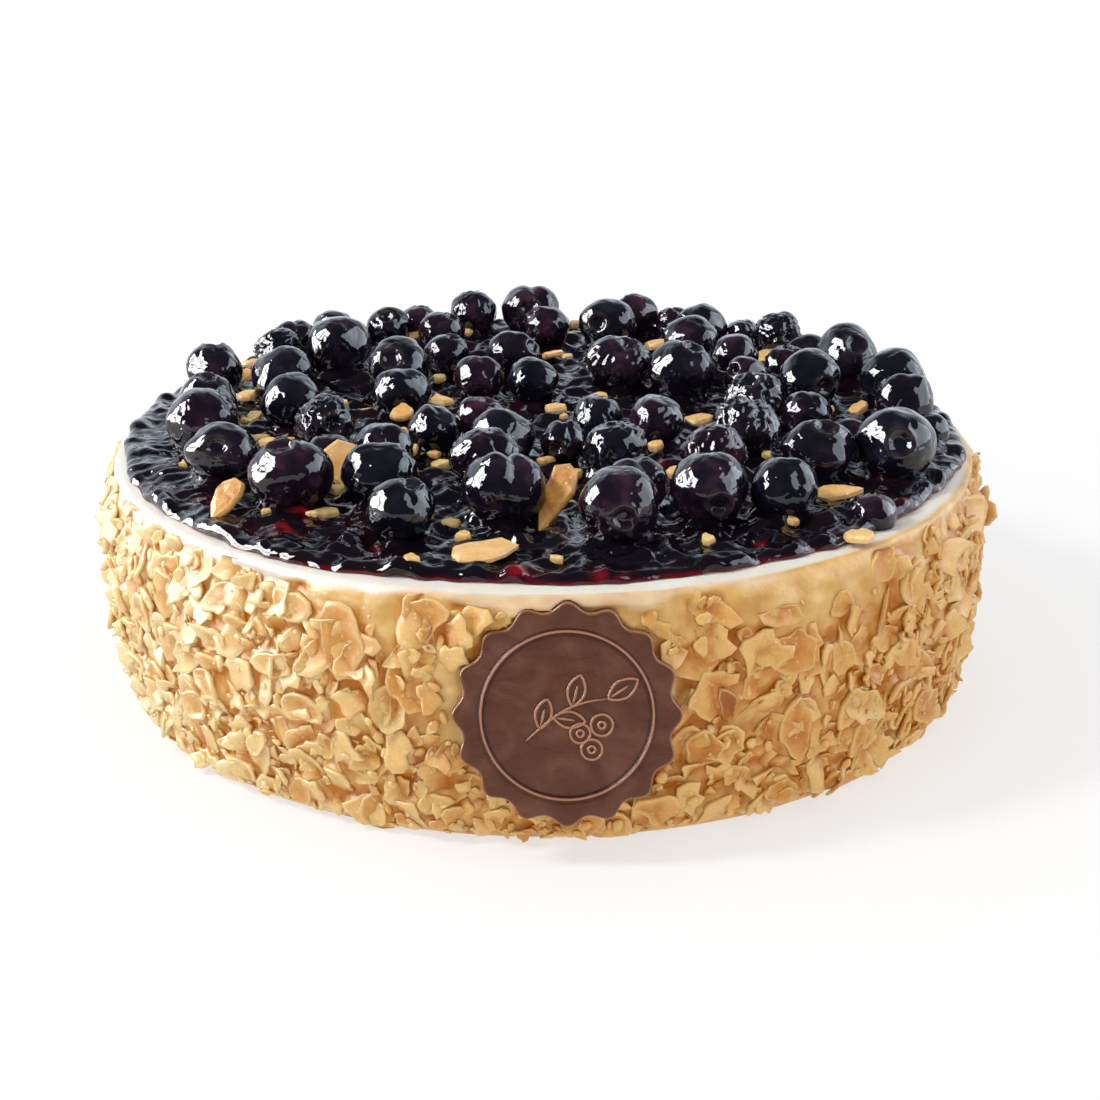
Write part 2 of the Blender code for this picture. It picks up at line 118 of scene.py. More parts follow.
def mesh_piece(name, points, faces, materials, masks=None, smooth=True):
    """An object from arrays of points and faces, with a named mask for each point."""
    mesh = bpy.data.meshes.new(name)
    mesh.from_pydata(np.asarray(points).tolist(), [], faces)
    for material in materials:
        mesh.materials.append(material)
    for mask, values in (masks or {}).items():
        layer = mesh.attributes.new(mask, "FLOAT", "POINT")
        layer.data.foreach_set("value", np.asarray(values, np.float32))
    if smooth:
        mesh.shade_smooth()
    piece = bpy.data.objects.new(name, mesh)
    bpy.context.scene.collection.objects.link(piece)
    return piece


def ring_faces(rows, count, start=0):
    """Faces between rings of points that follow each other, closed at both ends by a middle point."""
    faces = []
    for row in range(rows - 1):
        lower = start + row * count
        for i in range(count):
            j = (i + 1) % count
            faces.append((lower + i, lower + j, lower + count + j, lower + count + i))
    bottom = start + rows * count
    last = start + (rows - 1) * count
    for i in range(count):
        j = (i + 1) % count
        faces.append((bottom, start + j, start + i))
        faces.append((bottom + 1, last + i, last + j))
    return faces


def shifted(faces, start):
    """Faces whose points come after others in a joined mesh."""
    return [tuple(i + start for i in face) for face in faces]


def polar(radius, angle, height):
    return np.stack(np.broadcast_arrays(radius * np.cos(angle), radius * np.sin(angle), height), axis=-1)


def transformed(points, matrix):
    """Points moved and turned by a matrix of four rows."""
    return (np.c_[points, np.ones(len(points))] @ np.array(matrix).T)[:, :3]


print("noise at a point:", soft_noise([(0.2, 0.3, 0.4)], 1.0).round(3))


# %% [markdown]
# A material is a small network of nodes. Several finishes here share an effect: nuts, cream and
# chocolate are all mottled, and jelly and berries both carry an uneven wet film. Each effect is a
# node group that is built once and given other values in each material.

# %% Helpers for nodes
def feed(tree, socket, value):
    """Links a socket to another one, or sets its plain value."""
    if isinstance(value, bpy.types.NodeSocket):
        tree.links.new(value, socket)
    else:
        socket.default_value = value


def add_node(tree, kind, inputs=None, **settings):
    """A node with its settings, and its inputs set to numbers or linked to other sockets."""
    made = tree.nodes.new(kind)
    for name, value in settings.items():
        setattr(made, name, value)
    for name, value in (inputs or {}).items():
        feed(tree, made.inputs[name], value)
    return made


def new_group(name, inputs, outputs):
    """A shader node group with float inputs, given with their usual values, and typed outputs."""
    tree = bpy.data.node_groups.new(name, "ShaderNodeTree")
    for label, value in inputs.items():
        socket = tree.interface.new_socket(label, in_out="INPUT", socket_type="NodeSocketFloat")
        socket.default_value = value
    for label, kind in outputs.items():
        tree.interface.new_socket(label, in_out="OUTPUT", socket_type=kind)
    return tree, tree.nodes.new("NodeGroupInput"), tree.nodes.new("NodeGroupOutput")


def use_group(tree, group, inputs):
    return add_node(tree, "ShaderNodeGroup", inputs, node_tree=group)


def mask(tree, name):
    return add_node(tree, "ShaderNodeAttribute", attribute_name=name).outputs["Fac"]


def ramp(tree, value, stops):
    """A colour ramp through (place, colour) stops."""
    made = add_node(tree, "ShaderNodeValToRGB", {"Fac": value})
    elements = made.color_ramp.elements
    while len(elements) < len(stops):
        elements.new(0.5)
    for element, (place, colour) in zip(elements, stops):
        element.position = place
        element.color = (*colour, 1)
    return made.outputs["Color"]


def mix_colour(tree, amount, first, second, blend="MIX"):
    made = add_node(tree, "ShaderNodeMix", data_type="RGBA", blend_type=blend)
    # The colour sockets of a mix node come after those for numbers and vectors, so they go by number.
    for number, value in ((0, amount), (6, first), (7, second)):
        feed(tree, made.inputs[number], (*value, 1) if isinstance(value, tuple) else value)
    return made.outputs[2]


def math_node(tree, operation, *values):
    """A sum on two numbers or sockets, or on three where one is added after a product."""
    return add_node(tree, "ShaderNodeMath", dict(enumerate(values)), operation=operation).outputs[0]


def map_range(tree, value, low, high, to_low=0.0, to_high=1.0, kind="LINEAR"):
    """Moves a value from one range into another and stops it at the ends."""
    made = add_node(tree, "ShaderNodeMapRange", {
        "Value": value, "From Min": low, "From Max": high, "To Min": to_low, "To Max": to_high},
        interpolation_type=kind)
    return made.outputs["Result"]


def new_material(name, values):
    """A material whose Principled shader has the given plain values."""
    material = bpy.data.materials.new(name)
    material.use_nodes = True
    shader = material.node_tree.nodes["Principled BSDF"]
    for label, value in values.items():
        shader.inputs[label].default_value = value
    return material, material.node_tree, shader


def add_bump(tree, shader, height, distance, strength=1.0):
    bump = add_node(tree, "ShaderNodeBump", {"Height": height, "Distance": distance, "Strength": strength})
    tree.links.new(bump.outputs["Normal"], shader.inputs["Normal"])


# %% [markdown]
# Mottling is a slow change of tone with a finer one on top, as in anything baked or whipped. The
# group gives a tone for the colour, and a height for the bump that makes the same spots stand out.

# %% Shared effect: mottling
mottling, given, result = new_group(
    "mottling", {"Size": 4 * MM, "Fineness": 5.0},
    {"Tone": "NodeSocketFloat", "Speckle": "NodeSocketFloat", "Height": "NodeSocketFloat"})
where = add_node(mottling, "ShaderNodeTexCoord").outputs["Object"]
frequency = math_node(mottling, "DIVIDE", 1.0, given.outputs["Size"])
fine_frequency = math_node(mottling, "MULTIPLY", frequency, given.outputs["Fineness"])
slow = add_node(mottling, "ShaderNodeTexNoise", {"Vector": where, "Scale": frequency, "Detail": 3.0})
fine = add_node(mottling, "ShaderNodeTexNoise", {"Vector": where, "Scale": fine_frequency, "Detail": 4.0})
SLOW_SHARE = 0.6
height = math_node(mottling, "ADD", math_node(mottling, "MULTIPLY", slow.outputs["Fac"], SLOW_SHARE),
                   math_node(mottling, "MULTIPLY", fine.outputs["Fac"], 1 - SLOW_SHARE))
feed(mottling, result.inputs["Tone"], map_range(mottling, slow.outputs["Fac"], 0.32, 0.68))
feed(mottling, result.inputs["Speckle"], map_range(mottling, fine.outputs["Fac"], 0.35, 0.65))
feed(mottling, result.inputs["Height"], height)
print("mottling nodes:", len(mottling.nodes))

# %% [markdown]
# Fruit jelly never sets quite level. Its film has soft swells a millimetre or two across, and here
# and there a small bubble or a drop. That unevenness is what breaks a window's reflection into the
# ragged bright shapes seen on glazed fruit, so it goes into the bump and slightly into roughness.

# %% Shared effect: uneven wet film
wet_film, given, result = new_group(
    "uneven_wet_film", {"Swell Size": 2 * MM, "Drop Size": 0.9 * MM, "Drops": 0.5, "Gloss": 0.05},
    {"Height": "NodeSocketFloat", "Roughness": "NodeSocketFloat"})
where = add_node(wet_film, "ShaderNodeTexCoord").outputs["Object"]
swell_frequency = math_node(wet_film, "DIVIDE", 1.0, given.outputs["Swell Size"])
drop_frequency = math_node(wet_film, "DIVIDE", 1.0, given.outputs["Drop Size"])
swells = add_node(wet_film, "ShaderNodeTexNoise",
                  {"Vector": where, "Scale": swell_frequency, "Detail": 0.6, "Distortion": 0.8})
drops = add_node(wet_film, "ShaderNodeTexVoronoi", {"Vector": where, "Scale": drop_frequency},
                 feature="SMOOTH_F1")
drop_tops = map_range(wet_film, drops.outputs["Distance"], 0.1, 0.5, 1.0, 0.0, "SMOOTHSTEP")
patches = add_node(wet_film, "ShaderNodeTexNoise",
                   {"Vector": where, "Scale": math_node(wet_film, "MULTIPLY", swell_frequency, 0.35)})
film_places = map_range(wet_film, patches.outputs["Fac"], 0.45, 0.62)
drop_share = math_node(wet_film, "MULTIPLY", film_places, given.outputs["Drops"])
drop_height = math_node(wet_film, "MULTIPLY", drop_tops, drop_share)
feed(wet_film, result.inputs["Height"], math_node(wet_film, "ADD", swells.outputs["Fac"], drop_height))
feed(wet_film, result.inputs["Roughness"],
     math_node(wet_film, "MULTIPLY_ADD", swells.outputs["Fac"], 0.03, given.outputs["Gloss"]))
print("node groups:", [group.name for group in bpy.data.node_groups])

# %% [markdown]
# Cream cheese filling shows as a white band under the jelly and between the almonds. It is soft, so
# light goes a little way into it. Where it lies deep between the nuts it is painted a darker golden
# tone by a mask: painted shade in the recesses.

# %% Cream
# Part toast, part painted shade: this tint warms and darkens the side away from the key light.
GOLDEN_SHADE_TINT = (0.84, 0.67, 0.44)
WHITE_CREAM = (0.82, 0.78, 0.70)


def golden_shade_tint(tree, colour):
    """Warms and darkens a colour where the golden mask is high: the more toasted side of the cake, which is
    also darkened as painted shade.
    """
    return mix_colour(tree, mask(tree, "golden"), colour, GOLDEN_SHADE_TINT, "MULTIPLY")


cream, tree, shader = new_material("cream", {
    "Roughness": 0.34, "Subsurface Weight": 0.30, "Subsurface Scale": 0.002,
    "Subsurface Radius": (1.0, 0.5, 0.2), "IOR": 1.4})
spots = use_group(tree, mottling, {"Size": 6 * MM, "Fineness": 6.0})
coated = ramp(tree, spots.outputs["Tone"], (
    (0.0, (0.72, 0.47, 0.16)), (0.5, (0.83, 0.62, 0.29)), (1.0, (0.94, 0.78, 0.46))))
# Painted shade: cream that lies deep between the nuts is darkened towards orange.
deep = mix_colour(tree, mask(tree, "recess_shade"), coated, (0.62, 0.23, 0.006))
toned = golden_shade_tint(tree, deep)
feed(tree, shader.inputs["Base Color"], mix_colour(tree, mask(tree, "white"), toned, WHITE_CREAM))
add_bump(tree, shader, spots.outputs["Height"], 0.3 * MM)
print("cream nodes:", len(tree.nodes))

# %% [markdown]
# A toasted almond slice is palest at its cut edge and darker, slightly pink and translucent in the
# middle, with tiny pale blisters from the roasting. Each piece has its own degree of toasting. Masks
# on the mesh say where the rim is, how toasted the piece is and how deep it lies, and one group turns
# them into colour for every cut of nut.

# %% Shared effect: toasted nut
toasted_nut, given, result = new_group(
    "toasted_nut", {"Rim": 0.0, "Toast": 0.3, "Depth": 0.0},
    {"Color": "NodeSocketColor", "Height": "NodeSocketFloat"})
spots = use_group(toasted_nut, mottling, {"Size": 3 * MM, "Fineness": 5.0})
TOAST_SPREAD = 0.24
lightest = math_node(toasted_nut, "SUBTRACT", given.outputs["Toast"], TOAST_SPREAD / 2)
uneven_toast = math_node(toasted_nut, "MULTIPLY_ADD", spots.outputs["Tone"], TOAST_SPREAD, lightest)
flat = ramp(toasted_nut, uneven_toast, (
    (0.0, (0.95, 0.74, 0.40)), (0.25, (0.91, 0.67, 0.30)), (0.5, (0.83, 0.52, 0.20)),
    (0.75, (0.74, 0.37, 0.08)), (1.0, (0.36, 0.12, 0.02))))
edge = mix_colour(toasted_nut, math_node(toasted_nut, "MULTIPLY", given.outputs["Rim"], 0.8), flat,
                  (0.95, 0.78, 0.45))
# Painted shade: flakes that lie low between others are darkened to deep orange.
deep = mix_colour(toasted_nut, given.outputs["Depth"], edge, (0.58, 0.21, 0.004))
where = add_node(toasted_nut, "ShaderNodeTexCoord").outputs["Object"]
BLISTERS_PER_METRE = 480.0
cells = add_node(toasted_nut, "ShaderNodeTexVoronoi", {"Vector": where, "Scale": BLISTERS_PER_METRE})
blisters = map_range(toasted_nut, cells.outputs["Distance"], 0.17, 0.11, 0.0, 0.55)
blistered = mix_colour(toasted_nut, blisters, deep, (0.95, 0.88, 0.70))
speck = math_node(toasted_nut, "MULTIPLY_ADD", spots.outputs["Speckle"], 0.10, 0.93)
shaded = add_node(toasted_nut, "ShaderNodeVectorMath", {0: blistered, "Scale": speck}, operation="SCALE")
feed(toasted_nut, result.inputs["Color"], shaded.outputs[0])
feed(toasted_nut, result.inputs["Height"], spots.outputs["Height"])


def nut_material(name, roughness):
    material, tree, shader = new_material(name, {
        "Roughness": roughness, "Subsurface Weight": 0.25, "Subsurface Scale": 0.0015,
        "Subsurface Radius": (1.0, 0.5, 0.2), "IOR": 1.45, "Specular IOR Level": 0.38})
    nut = use_group(tree, toasted_nut, {"Rim": mask(tree, "rim"), "Toast": mask(tree, "toast"),
                                        "Depth": mask(tree, "depth")})
    feed(tree, shader.inputs["Base Color"], golden_shade_tint(tree, nut.outputs["Color"]))
    add_bump(tree, shader, nut.outputs["Height"], 0.18 * MM)
    return material


almond = nut_material("toasted_almond", 0.40)
almond_crumb = nut_material("toasted_almond_crumb", 0.44)
print("materials:", [material.name for material in bpy.data.materials])

# %% [markdown]
# The coat of nuts is laid on a map of the side, as if the side were unrolled: one axis runs along
# the side and the other up it, and each cell holds how far the coat stands out there. The cream
# comes first. A flake then looks for a low place, leans on the higher spots under it, and raises the
# map, so that flakes overlap like shingles and none floats or sinks.

# %% Map of the side
CELL = 0.5 * MM
MAP_RADIUS = 100 * MM
GIRTH = math.tau * MAP_RADIUS
columns = round(GIRTH / CELL)
rows = round(CAKE_HEIGHT / CELL)
cell_angle = np.arange(columns) * math.tau / columns
cell_up = np.arange(rows) * CELL
side_points = polar(MAP_RADIUS, np.tile(cell_angle, rows), np.repeat(cell_up, columns))
cream_swell = soft_noise(side_points, 9 * MM, 3, seed=1).reshape(rows, columns)
smear = soft_noise(side_points * (1, 1, 0.6), 22 * MM, 2, seed=2).reshape(rows, columns)
near_top = smoothstep(36 * MM, 53 * MM, cell_up)[:, None]
cream_lumps = soft_noise(side_points, 3.2 * MM, 2, seed=17).reshape(rows, columns)
cream_level = (-0.7 + 0.7 * cream_swell + 1.6 * near_top * smoothstep(-0.1, 0.5, smear)) * MM
coat = cream_level.copy()


def map_cells(along, up):
    column = np.round(np.asarray(along) / CELL).astype(int) % columns
    row = np.clip(np.round(np.asarray(up) / CELL).astype(int), 0, rows - 1)
    return row, column


def on_side(along, up, out):
    """Points in space from places on the map and a distance out from the cake's side."""
    return polar(side_radius(up) + out, np.asarray(along) / MAP_RADIUS, up)


def blurred(field, reach):
    """The map smoothed over a distance, wrapping round the cake."""
    steps = max(1, round(reach / CELL))
    smooth = field
    for _ in range(2):
        stack = [np.roll(smooth, shift, axis=1) for shift in range(-steps, steps + 1)]
        smooth = np.mean(stack, axis=0)
        padded = np.pad(smooth, ((steps, steps), (0, 0)), mode="edge")
        smooth = np.mean([padded[shift:shift + rows] for shift in range(2 * steps + 1)], axis=0)
    return smooth


seal_along = (math.atan2(SEAL_CENTRE.y, SEAL_CENTRE.x) % math.tau) * MAP_RADIUS


def gap_to_seal(along, up):
    return np.hypot(np.asarray(along) - seal_along, np.asarray(up) - SEAL_CENTRE.z) - SEAL_TIP_RADIUS


print("cells on the map of the side:", coat.shape)

# %% [markdown]
# Each flake is drawn as distances from its middle at evenly spaced angles: an oval slice of almond with
# pieces snapped off it along rough lines. Few breaks leave a rounded slice, and more leave an angular
# shard. Rings of points then give it a body. A slice dries to a shallow dish, so its rim stands a
# little above its middle.

# %% One flake
def broken_outline(rng, count, length, width, breaks, rough=0.05):
    """Points round an oval of the given size with some of it snapped off and a ragged edge.

    With no breaks it is half a slice, split along its length.
    """
    angles = np.arange(count) * math.tau / count
    reach = 1 / np.hypot(np.cos(angles) / (length / 2), np.sin(angles) / (width / 2))
    for _ in range(breaks):
        facing = rng.random() * math.tau
        support = math.hypot(length / 2 * math.cos(facing), width / 2 * math.sin(facing))
        ahead = np.maximum(np.cos(angles - facing), 0.05)
        reach = np.minimum(reach, support * rng.uniform(0.4, 0.9) / ahead)
    if breaks == 0:
        reach = np.minimum(reach, 0.12 * width / np.maximum(np.sin(angles), 0.05))
    lobes, phase = rng.choice((3, 4, 5)), rng.random() * math.tau
    reach = reach * (1 + 1.3 * rough * np.cos(lobes * angles + phase))
    reach = reach * np.array([rng.uniform(1 - rough, 1 + rough) for _ in range(count)])
    return reach * np.cos(angles), reach * np.sin(angles)


# Each ring of a flake is (share of the outline, share of the thickness, rim mask).
DISHED_RINGS = ((0.42, 0.74, 0.0), (0.80, 0.84, 0.1), (0.94, 1.02, 0.9), (1.0, 0.76, 1.0), (0.98, 0.0, 1.0))
PLAIN_RINGS = ((0.6, 0.96, 0.0), (0.95, 1.0, 0.6), (1.0, 0.80, 1.0), (0.99, 0.0, 1.0))
FLAKE_WAVE = 0.75 * MM


def flake_points(rng, x, y, thickness, curl, ring_shares):
    """Rings of (x, y, height, rim mask) for a flake lying flat, from its back to its face."""
    bend_axis = rng.random() * math.tau
    across = x * math.cos(bend_axis) + y * math.sin(bend_axis)
    reach = max(np.abs(across).max(), 1e-6)
    rings = []
    buckle = rng.random() * 9
    for scale, level, rim in ring_shares:
        lift = curl * (across * scale / reach) ** 2
        flat = np.stack([x * scale, y * scale, np.full(len(x), buckle * MM * 10)], axis=-1)
        lift = lift + FLAKE_WAVE * soft_noise(flat, 3.6 * MM, 1)
        uneven = np.array([rng.uniform(-0.10, 0.10) for _ in x]) * thickness * (scale < 0.92)
        rings.append(np.stack([x * scale, y * scale, level * thickness + lift + uneven,
                               np.full(len(x), rim)], axis=-1))
    middle_level = ring_shares[0][1] * thickness
    return np.concatenate([*rings[::-1], [(0, 0, 0, 1)], [(0, 0, middle_level, 0)]])


# %% [markdown]
# Laying a flake takes three steps: find a place, find how it rests there, and raise the map under its
# outline. A small flake keeps off the broad slices that are listed, so that those stay in plain view.
# A placed slice that breaks down to that size is left out too.

# %% Laying one flake
PLACES_TRIED = 5
SMALL_REACH = 3.8 * MM
GREATEST_SLOPE = 0.3
EMBEDDED_SHARE = 0.45
COAT_LIMIT = 3.6 * MM
LOWEST_POINT = 0.25 * MM
HIGHEST_MIDDLE = 53 * MM


def find_place(rng, y, size, samples, place):
    """The lowest of a few random places, or the given one, as (along, up, levels of the map there)."""
    best = None
    for _ in range(1 if place else PLACES_TRIED):
        along, up = place[:2] if place else (rng.random() * GIRTH, rng.uniform(0, HIGHEST_MIDDLE))
        up = max(up, np.abs(y).max() * 0.8 + 0.4 * MM)
        if not place and (gap_to_seal(along, up) < 0.15 * size or up + 0.4 * size > coat_top(along)):
            continue
        if size < SMALL_REACH and on_broad_slice(along, up):
            continue
        ground = coat[map_cells(along + samples[0], up + samples[1])]
        if best is None or ground.mean() < best[2].mean():
            best = (along, up, ground)
    return best


def resting_plane(rng, ground, samples, thickness, tilt):
    """The slopes and the level at which a flake rests on the higher spots under it."""
    plane = np.stack([*samples, np.ones_like(ground)], axis=1)
    fitted = np.linalg.lstsq(plane, ground, rcond=None)[0]
    slope_x = np.clip(fitted[0] * 0.5, -GREATEST_SLOPE, GREATEST_SLOPE) + rng.uniform(-tilt, tilt)
    slope_y = np.clip(fitted[1] * 0.5, -GREATEST_SLOPE, GREATEST_SLOPE) + rng.uniform(-tilt, tilt)
    above_slope = ground - slope_x * samples[0] - slope_y * samples[1]
    base = np.percentile(above_slope, 60) - EMBEDDED_SHARE * thickness
    return slope_x, slope_y, min(base, COAT_LIMIT)


def raise_map(x, y, size, along, up, slope_x, slope_y, face_level):
    """Raises the map to a flake's face wherever its outline covers a cell."""
    cells = np.arange(-math.ceil(size / CELL), math.ceil(size / CELL) + 1) * CELL
    grid_x, grid_y = np.meshgrid(cells, cells)
    angle = np.arctan2(grid_y, grid_x) % math.tau
    outline_angle = np.arctan2(y, x) % math.tau
    order = np.argsort(outline_angle)
    outline_reach = np.interp(angle, outline_angle[order], np.hypot(x, y)[order], period=math.tau)
    inside = np.hypot(grid_x, grid_y) < outline_reach
    inside &= (up + grid_y > 0) & (up + grid_y < CAKE_HEIGHT - CELL)
    spots = map_cells(along + grid_x[inside], up + grid_y[inside])
    level = face_level + slope_x * grid_x[inside] + slope_y * grid_y[inside]
    coat[spots] = np.maximum(coat[spots], level)


def lay_flake(rng, shape, thickness, curl, ring_shares, place, tilt):
    """Lays a flake and returns its points, its rim mask and its points' places on the map."""
    x, y = shape
    turn = math.radians(place[2]) if place else rng.random() * math.tau
    x, y = x * math.cos(turn) - y * math.sin(turn), x * math.sin(turn) + y * math.cos(turn)
    size = np.hypot(x, y).max()
    samples = (np.concatenate([[0], x[::2] * 0.5, x * 0.92]), np.concatenate([[0], y[::2] * 0.5, y * 0.92]))
    found = find_place(rng, y, size, samples, place)
    if found is None:
        return None
    along, up, ground = found
    slope_x, slope_y, base = resting_plane(rng, ground, samples, thickness, tilt)
    raise_map(x, y, size, along, up, slope_x, slope_y, base + thickness)
    local = flake_points(rng, x, y, thickness, curl, ring_shares)
    out = base + slope_x * local[:, 0] + slope_y * local[:, 1] + local[:, 2]
    height = np.clip(up + local[:, 1], LOWEST_POINT, CAKE_HEIGHT - 0.6 * MM)
    spot = np.stack([along + local[:, 0], height, out], axis=-1)
    return on_side(spot[:, 0], height, out), local[:, 3], spot


# %% [markdown]
# The flakes go on in rounds. Shards come first and make the bed, and slices, more shards and a few
# last slices fall on them at random. The broad slices that catch the eye then go where the real ones
# are: (along the side from the front, up, length, width, heading, toast, breaks), in millimetres and
# degrees. Slivers fill the gaps at the end.

# %% Lay the almond flakes
FRONT_ALONG = MAP_RADIUS * 1.5 * math.pi
PLACED_SLICES = (
    (-43.5, 43.0, 17.5, 15, 97, 0.62, 0), (-57.3, 35.5, 12.5, 6.5, 10, 0.2, 2),
    (-72.8, 45.5, 12, 6.5, 40, 0.25, 2), (-54.5, 48.5, 13.5, 6, -5, 0.42, 2),
    (-29.1, 41.5, 10.4, 4.2, 15, 0.2, 1), (-37.7, 35, 7, 6.6, 90, 0.5, 2),
    (-32.8, 31, 12.7, 4.4, 85, 0.15, 2), (-39.9, 13.1, 8.6, 4.6, -5, 0.15, 3),
    (-30.3, 22, 6, 4.4, 20, 0.15, 3), (-50.9, 26.3, 11.7, 7, -10, 0.35, 2),
    (-45.8, 18, 7.5, 4.4, -65, 0.35, 3), (-83.5, 18, 8, 6.8, 30, 0.4, 2),
    (-92, 42, 13.5, 9, 85, 0.58, 2), (-84, 30, 13, 7.4, 50, 0.2, 2),
    (-103, 33, 10.5, 8, 70, 0.42, 2), (-74, 36, 7.4, 6.4, 10, 0.4, 3),
    (-64, 14, 9, 6, 60, 0.3, 3), (-71, 7, 9, 6, -30, 0.25, 3),
    (-22, 9, 9, 6, 30, 0.35, 3), (-55, 5.5, 8.5, 6, 70, 0.5, 2),
    (53.6, 39.5, 13.5, 10, 20, 0.52, 3), (43.7, 34, 11, 7, 20, 0.68, 1),
    (54, 21.3, 18, 8.0, -72, 0.56, 2), (69.5, 23, 13, 6.2, 65, 0.52, 1),
    (32.7, 20.5, 10.6, 8, -50, 0.55, 2), (38, 29.2, 10.4, 4.8, -65, 0.78, 2),
    (79.9, 35.7, 9.8, 7.6, 10, 0.66, 3), (74.9, 13, 11, 8, 80, 0.55, 2),
    (101.8, 12, 13, 10, -40, 0.5, 2), (50.5, 14, 7, 5.6, 40, 0.85, 3),
    (40.1, 13, 8, 4.6, 0, 0.2, 2), (54.7, 6, 12.4, 6, -5, 0.35, 2),
    (31.3, 34.5, 7, 5.4, 60, 0.5, 3), (64.4, 46.5, 8, 5.6, 0, 0.5, 2),
    (50, 48, 12, 5.6, -5, 0.45, 2), (117, 22, 14, 10, 80, 0.45, 2),
    (92, 24, 12, 8, -30, 0.5, 2), (86, 46, 11, 7, 75, 0.55, 3),
    (66, 34, 10, 6.4, -60, 0.3, 3),
)
# Directions round the cake, in radians: over the seal, the well coated right side and the side that
# is toasted most and darkened most by painted shade.
SMEARED_TURN = 4.84
RIGHT_TURN = 5.9
TOASTED_SHADED_TURN = 5.6
top_points = polar(MAP_RADIUS, cell_angle, 0.0)
top_noise = 2.2 * MM * soft_noise(top_points, 12 * MM, 2, seed=14)


def coat_top(along):
    """How high the flakes reach: lower over the seal, where the cream is smoothed over them."""
    turn = np.asarray(along) / MAP_RADIUS
    smooth_front = np.maximum(0, np.cos(turn - SMEARED_TURN)) ** 18
    column = np.round(np.asarray(along) / CELL).astype(int) % columns
    right_side = np.maximum(0, np.cos(turn - RIGHT_TURN)) ** 3
    return 54.8 * MM - 3.4 * MM * smooth_front + 1.4 * MM * right_side + top_noise[column]


def on_broad_slice(along, up):
    """Whether a place is on one of the broad placed slices, which small pieces leave clear."""
    for middle, height, length, width, *_ in PLACED_SLICES:
        if math.hypot(along - FRONT_ALONG - middle * MM, up - height * MM) < 0.25 * (length + width) * MM:
            return True
    return False


def golden_shaded_side(along):
    """More toasted towards the right of the seal, as on the real cake, and darker there with painted shade.
    """
    return smoothstep(-0.35, 0.75, np.cos(np.asarray(along) / MAP_RADIUS - TOASTED_SHADED_TURN))


def lay_batch(seed, cut, tilt, count=0, given_rows=()):
    """Lays flakes one after another, at random or as given in rows, as parts of one mesh."""
    make, toast, ring_shares, thickness_range, greatest_curl = cut
    rng = random.Random(seed)
    points, masks, spots, faces = [], [], [], []
    total = 0
    for row in given_rows or [None] * count:
        if row:
            along, up, length, width, heading, tone, breaks = row
            shape = broken_outline(rng, 20, length * MM, width * MM, breaks)
            place = (FRONT_ALONG + along * MM, up * MM, heading)
        else:
            shape = make(rng)
            tone = toast(rng)
            place = None
        thickness = rng.uniform(*thickness_range) * MM
        curl = rng.uniform(-greatest_curl, greatest_curl) * MM
        laid = lay_flake(rng, shape, thickness, curl, ring_shares, place, tilt)
        if laid is None:
            continue
        where, rim, spot = laid
        faces += ring_faces(len(ring_shares), len(shape[0]), total)
        total += len(where)
        points.append(where)
        tone += 0.30 * float(golden_shaded_side(spot[-1, 0])) * rng.uniform(-0.8, 1.0)
        masks.append(np.stack([rim, np.full(len(rim), tone), golden_shaded_side(spot[:, 0])], axis=-1))
        spots.append(spot)
    return [np.concatenate(points), np.concatenate(masks), np.concatenate(spots), faces]


def join_batches(*batches):
    faces = []
    total = 0
    for batch in batches:
        faces += shifted(batch[3], total)
        total += len(batch[0])
    return [np.concatenate([batch[part] for batch in batches]) for part in range(3)] + [faces]


def slice_toast(rng):
    return rng.choice((0.1, 0.2, 0.3, 0.45, 0.58)) + rng.uniform(-0.08, 0.08)


def shard_toast(rng):
    return 0.02 + 0.85 * rng.betavariate(1.0, 3.4)


def make_slice(rng):
    length = rng.uniform(9, 15) * MM
    width = rng.uniform(7, 10) * MM
    return broken_outline(rng, 18, length, width, rng.choice((2, 3, 4)), 0.08)


def make_shard(rng):
    length = 3.8 + 9 * rng.random() ** 1.5
    width = length * rng.uniform(0.45, 0.85) * MM
    return broken_outline(rng, 13, length * MM, width, rng.choice((3, 4, 5)), 0.13)


def make_sliver(rng):
    length = rng.uniform(3, 7) * MM
    width = rng.uniform(1.1, 2.4) * MM
    return broken_outline(rng, 9, length, width, rng.choice((1, 2)), 0.12)


# Each cut of nut is (outline, toast, rings, least and greatest thickness in millimetres, and greatest
# curl in millimetres). The placed slices bring their own outline and toast.
SHARD = (make_shard, shard_toast, PLAIN_RINGS, (0.8, 1.4), 1.6)
SLICE = (make_slice, slice_toast, DISHED_RINGS, (0.8, 1.3), 1.8)
SLIVER = (make_sliver, shard_toast, PLAIN_RINGS, (0.8, 1.3), 0.6)
BROAD_SLICE = (None, None, DISHED_RINGS, (1.3, 1.8), 0.8)
first_shards = lay_batch(202, SHARD, 0.35, 700)
first_slices = lay_batch(101, SLICE, 0.25, 130)
last_shards = lay_batch(203, SHARD, 0.5, 860)
last_slices = lay_batch(102, SLICE, 0.35, 44)
placed_slices = lay_batch(103, BROAD_SLICE, 0.10, given_rows=PLACED_SLICES)
slivers = lay_batch(303, SLIVER, 0.5, 420)

# %% [markdown]
# Light reaches the bottom of a gap between flakes only after many bounces off golden nut, so what lies
# low is deeper in colour. How low it lies is read against the map smoothed over a few millimetres.

